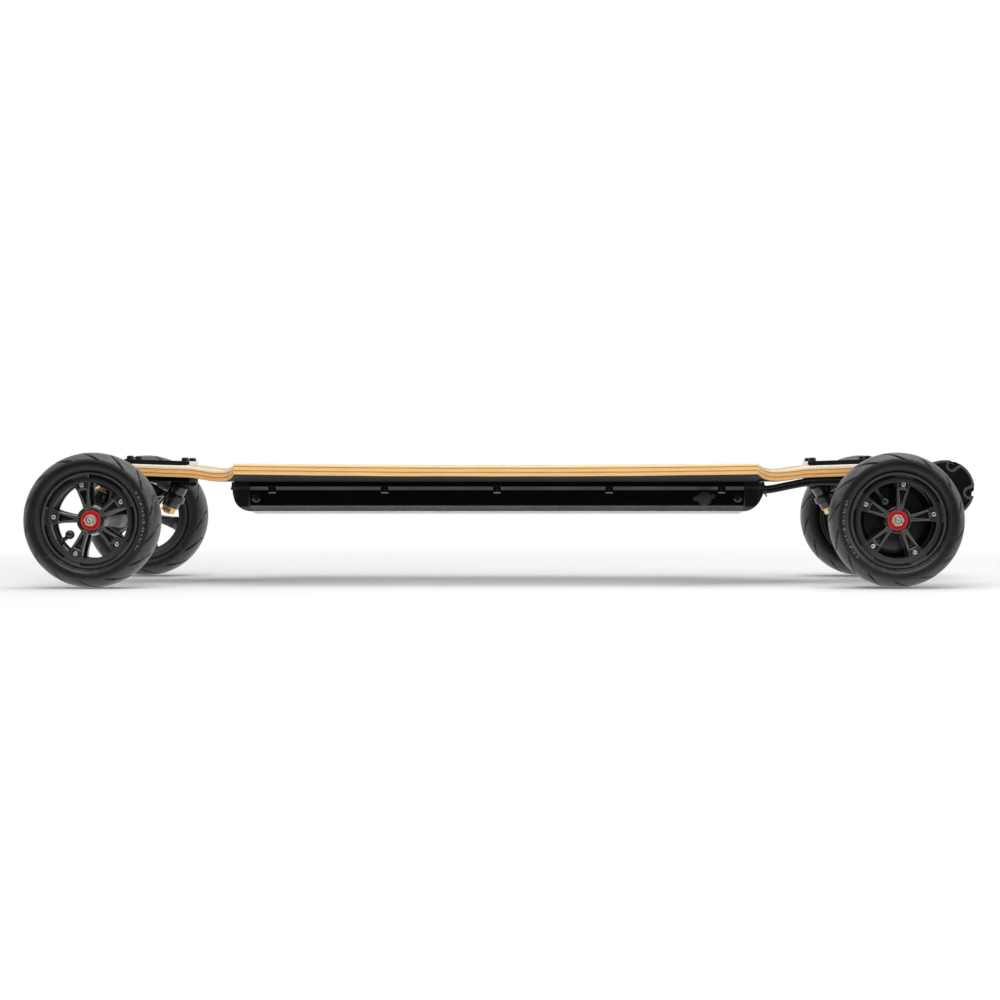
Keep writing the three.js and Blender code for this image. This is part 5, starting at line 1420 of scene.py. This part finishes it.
def cover_shells():
    """The belt cover, worked out round the axle: each loop is the wrapped outline, inset by a distance, at a height.
    The top rows are bitten by two round notches that leave room for big screws, the lower ones by two shallow
    dents, and the middle is open over the pulley. A rolled collar runs round each notch. The top rim and the upper
    side of each collar carry a painted highlight."""
    angles = full_turn(420)
    outline = wrapped(AXLE, 60, MOTOR, 38)
    notches, dents = cover_places(31.4, 31.4), cover_places(41.6, 39.2)

    def bitten(reach, extra, places):
        for x, z in places:
            dx, dz = x - AXLE[0], z - AXLE[1]
            along = dx * np.cos(angles) + dz * np.sin(angles)
            miss = dx * np.sin(angles) - dz * np.cos(angles)
            half = np.sqrt(np.maximum(0, (4.6 + extra) ** 2 - miss ** 2))
            reach = np.where((np.abs(miss) < 4.6 + extra) & (along > 0), np.minimum(reach, along - half), reach)
        return reach

    rows = []
    whole = reach_of(outline, AXLE, angles)
    for cut, y in [(0.4, 117.3), (0.0, 117.8), (0.0, 128.4), (0.2, 128.5), (0.0, 128.6), (0.0, 132.6), (0.35, 133.3),
                   (0.9, 133.5), (2.4, 133.5), (3.0, 133.2), (3.3, 132.2), (4.2, 132.0)]:
        bites = bitten(whole, cut, dents if y < 128.45 else notches)
        rows.append((np.minimum(reach_of(inset(outline, cut), AXLE, angles), bites), y))
    hole, inside = np.full(len(angles), 44.0), reach_of(inset(outline, 2.0), AXLE, angles)
    rows += [(hole + 2.4, 132.0), (hole + 1.8, 132.9), (hole + 0.4, 132.9), (hole, 132.4), (hole, 131.4),
             (hole + 0.4, 131.0), (inside * 0.5 + 22, 131.0)]
    pinched, dented = (bitten(inside, 1.6, places) for places in (notches, dents))
    rows += [(pinched, 131.0), (pinched, 127.4), (dented, 127.2), (dented, 117.3)]
    # Painted highlight on the rows of the top rim.
    painted_rim_light = np.zeros((len(rows), 1))
    painted_rim_light[6:10] = 1.0
    points = stacked([(polar_loop(r, AXLE, angles), y) for r, y in rows])
    shells = [shell(points, wrap=True, marks={"rub": painted_rim_light})]
    for x, z in notches:
        a = math.atan2(z - MOTOR[1], x - MOTOR[0]) + math.pi + np.radians(np.linspace(-100, 100, 34))
        size = 1.8 * np.sqrt(np.clip(1 - np.linspace(-1, 1, len(a)) ** 12, 0.02, 1))
        arc = stacked([(polar_loop(6.7, (x, z), a), 131.6)])[0]
        points, faces, _ = tube(arc, size, 14)
        # Painted highlight on each collar's upper side.
        shells.append((points, faces, {"rub": np.clip((np.abs(points[:, 1]) - 132.0) * 1.2, 0, 1)}))
    return shells


def motor_shells():
    """The motor can, with a fluted middle, r = 25.6 - 1.3 (1 - flute(32 a)), two smooth bells, vent hollows and a
    terminal boss."""
    a = full_turn(384)
    profile = [(9.0, 49.8), (22.4, 49.8), (23.6, 50.6), (25.4, 52.4), (26, 58), (25.6, 58.4), (25.6, 60),
               (25.6, 101.4), (25.6, 103), (26, 103.4), (26, 109), (25.4, 110.8), (23.6, 111.5), (9.0, 111.5)]
    r, y = np.array(profile).T[:, :, None]
    flute = smooth_share(np.cos(32 * a) * 0.9 + 0.5)
    vent = smooth_share(np.cos(9 * a) * 2.2 - 0.6)
    r = r - 1.3 * (1 - flute) * ((y > 59) & (y < 102))
    y = y + vent * (np.arange(len(profile)) == 1)[:, None]
    boss = rounded([(3, 49.75), (17, 49.75), (17, 50.6), (3, 50.6)], 0.3, closed=False)
    return [shell(about_y(r, y, a)), turned(boss, 56)]


def belt_shells():
    """The belt: an outline round both pulleys with rounded teeth inside, carried between its two faces."""
    line = wrapped(AXLE, 53.6, MOTOR, 13.1, 400)
    closed = np.vstack([line, line[:1]])
    run = np.concatenate([[0], np.cumsum(np.linalg.norm(np.diff(closed, axis=0), axis=1))])
    total = run[-1]
    at = np.linspace(0, total, 1200, endpoint=False)
    path = np.stack([np.interp(at, run, closed[:, k]) for k in (0, 1)], 1)
    tooth = smooth_share(np.cos(2 * math.pi * round(total / 5) * at / total) * 1.4 + 0.5)
    out = inset(path, -1.7)
    teeth = path + (inset(path, 0.75) - path) * tooth[:, None]
    return [shell(stacked([(teeth, 118.7), (out, 118.7), (out, 129.3), (teeth, 129.3)]), wrap=True)]


def build_drive(name, side):
    """Motor, its pulley, the belt and its cover on one side. Shapes are made on the +Y side and mirrored across for
    the other."""
    def across(shells):
        return on_board([outward(points * [1, side, 1], faces, marks) for points, faces, marks in shells], 1)

    def screws(places, radius, height, y, key):
        return [s for x, z in places for s in shifted([socket_screw(radius, height, y, 1, key)], x, 0, z)]

    put, hanger = putter(name, across), "rear_hanger"
    put("motor_can", shifted(motor_shells(), MOTOR[0], 0, MOTOR[1]), hanger, "motor_black", motor_black, "motor")
    small = toothed(15, 1.4, [(12, 129.6, 1), (12, 118.4, 1), (11, 118.1, 0), (3, 118.1, 0), (3, 129.9, 0),
                              (11, 129.9, 0)], 12)
    pulley = shifted([small, rod_of(4, 112, 118.6, 0.3)], MOTOR[0], 0, MOTOR[1])
    put("motor_pulley_teeth", pulley, f"{name}_motor_pulley", "bright_steel", steel, "motor_pulley")
    put("drive_belt_loop", belt_shells(), hanger, "belt_rubber", belt_rubber, "drive_belt", 50)
    cover, line = cover_shells(), np.array(MOTOR) - AXLE
    for away in (-17.5, 21.0):
        x, z = MOTOR + away * line / math.hypot(*line)
        cover += shifted([rod_of(3.5, 117.3, 131.2, 0.3, 28)], x, 0, z)
    put("belt_cover_shell", cover, hanger, "cover_black", cover_black, "belt_cover")
    rim = [spot(AXLE, 52.5, angle) for angle in (160, 215, 270, 320)]
    heads = screws(cover_places(31.4, 31.4), 3.9, 3.4, 128.3, 2.0) + screws(rim, 2.4, 1.2, 131.9, 1.1)
    put("belt_cover_screws", heads, hanger, "bright_steel", screw_black)
    face = [spot(MOTOR, 21, angle) for angle in (20, 110, 200, 290)]
    put("motor_mount_screws", screws(face, 2.6, 0.8, 116.9, 1.2), hanger, "bright_steel", screw_black)


build_drive("rear_left", -1)
build_drive("rear_right", 1)


# ---------------------------------------------------------------- studio
def build_floor():
    """A pale floor that keeps the shadow near the board and goes to plain white further off. Mirror-like surfaces see
    it white, and dimmer in front of the board."""
    mesh = bpy.data.meshes.new("studio_floor")
    reach, level = 30.0, -0.0006
    corners = [(-reach, -reach, level), (reach, -reach, level), (reach, reach, level), (-reach, reach, level)]
    mesh.from_pydata(corners, [], [(0, 1, 2, 3)])
    floor = bpy.data.objects.new("studio_floor", mesh)
    bpy.context.scene.collection.objects.link(floor)
    look = Look("studio_floor", Roughness=0.9, Base_Color=(0.86, 0.86, 0.86, 1))
    tree = look.tree
    far = node(tree, "ShaderNodeVectorMath", {0: stretched(tree, look.place, (0.75, 1.0, 0.0))}, operation="LENGTH")
    seen = node(tree, "ShaderNodeLightPath")
    clear = maths(tree, "MAXIMUM", seen["Is Camera Ray"], seen["Is Transmission Ray"])
    share = times(tree, mapped(tree, far["Value"], 0.35, 1.3), clear)
    share = maths(tree, "MAXIMUM", share, seen["Is Glossy Ray"])
    in_front = mapped(tree, part_of(tree, look.place, "Y"), -0.22, -0.7, 0.0, 0.97)
    strength = maths(tree, "SUBTRACT", 1.0, times(tree, in_front, seen["Is Glossy Ray"]))
    light = node(tree, "ShaderNodeEmission", {"Color": (1, 1, 1, 1), "Strength": strength})[0]
    mixed = node(tree, "ShaderNodeMixShader", {0: share, 1: look.shader.outputs[0], 2: light})[0]
    fill(tree, next(n for n in tree.nodes if n.type == "OUTPUT_MATERIAL"), {"Surface": mixed})
    mesh.materials.append(look.material)


def lamp(name, place, target, size, power, shiny=True):
    """A soft rectangular lamp that looks at a target."""
    data = bpy.data.lights.new(name, "AREA")
    data.shape = "RECTANGLE"
    data.size, data.size_y = size
    data.energy = power
    made = bpy.data.objects.new(name, data)
    bpy.context.scene.collection.objects.link(made)
    made.location = place
    made.visible_glossy = shiny
    x, y, z = np.array(target, float) - np.array(place, float)
    made.rotation_euler = (math.pi / 2 + math.atan2(z, math.hypot(x, y)), 0, math.atan2(-x, y))


def build_surround():
    """A surround that is white for the camera, soft for matt surfaces, and in mirror-like ones white behind the board
    and above it."""
    world = bpy.data.worlds.new("studio")
    bpy.context.scene.world = world
    world.use_nodes = True
    tree = world.node_tree
    tree.nodes.clear()
    seen = node(tree, "ShaderNodeLightPath")
    clear = maths(tree, "MAXIMUM", seen["Is Camera Ray"], seen["Is Transmission Ray"])
    direct = maths(tree, "MAXIMUM", clear, seen["Is Glossy Ray"])
    way = node(tree, "ShaderNodeTexCoord")["Generated"]
    behind = mapped(tree, part_of(tree, way, "Y"), -0.72, -0.1, 0.04, 1.0)
    above = mapped(tree, part_of(tree, way, "Z"), 0.5, 0.85)
    strength = maths(tree, "MAXIMUM", clear, maths(tree, "MAXIMUM", behind, above))
    soft = node(tree, "ShaderNodeBackground", {"Color": (1, 1, 1, 1), "Strength": 0.38})[0]
    white = node(tree, "ShaderNodeBackground", {"Color": (1, 1, 1, 1), "Strength": strength})[0]
    mixed = node(tree, "ShaderNodeMixShader", {0: direct, 1: soft, 2: white})[0]
    fill(tree, tree.nodes.new("ShaderNodeOutputWorld"), {"Surface": mixed})


build_floor()
lamp("overhead", (0.2, -0.3, 2.2), (0, 0.0, 0.1), (3.2, 2.0), 46)
lamp("front", (-0.6, -2.6, 1.5), (0, 0, 0.1), (2.4, 1.2), 22, False)
lamp("side", (2.3, -0.9, 0.8), (0.2, 0, 0.1), (1.2, 1.2), 12)
build_surround()
bpy.context.scene.view_settings.view_transform = "Standard"

bpy.context.view_layer.update()
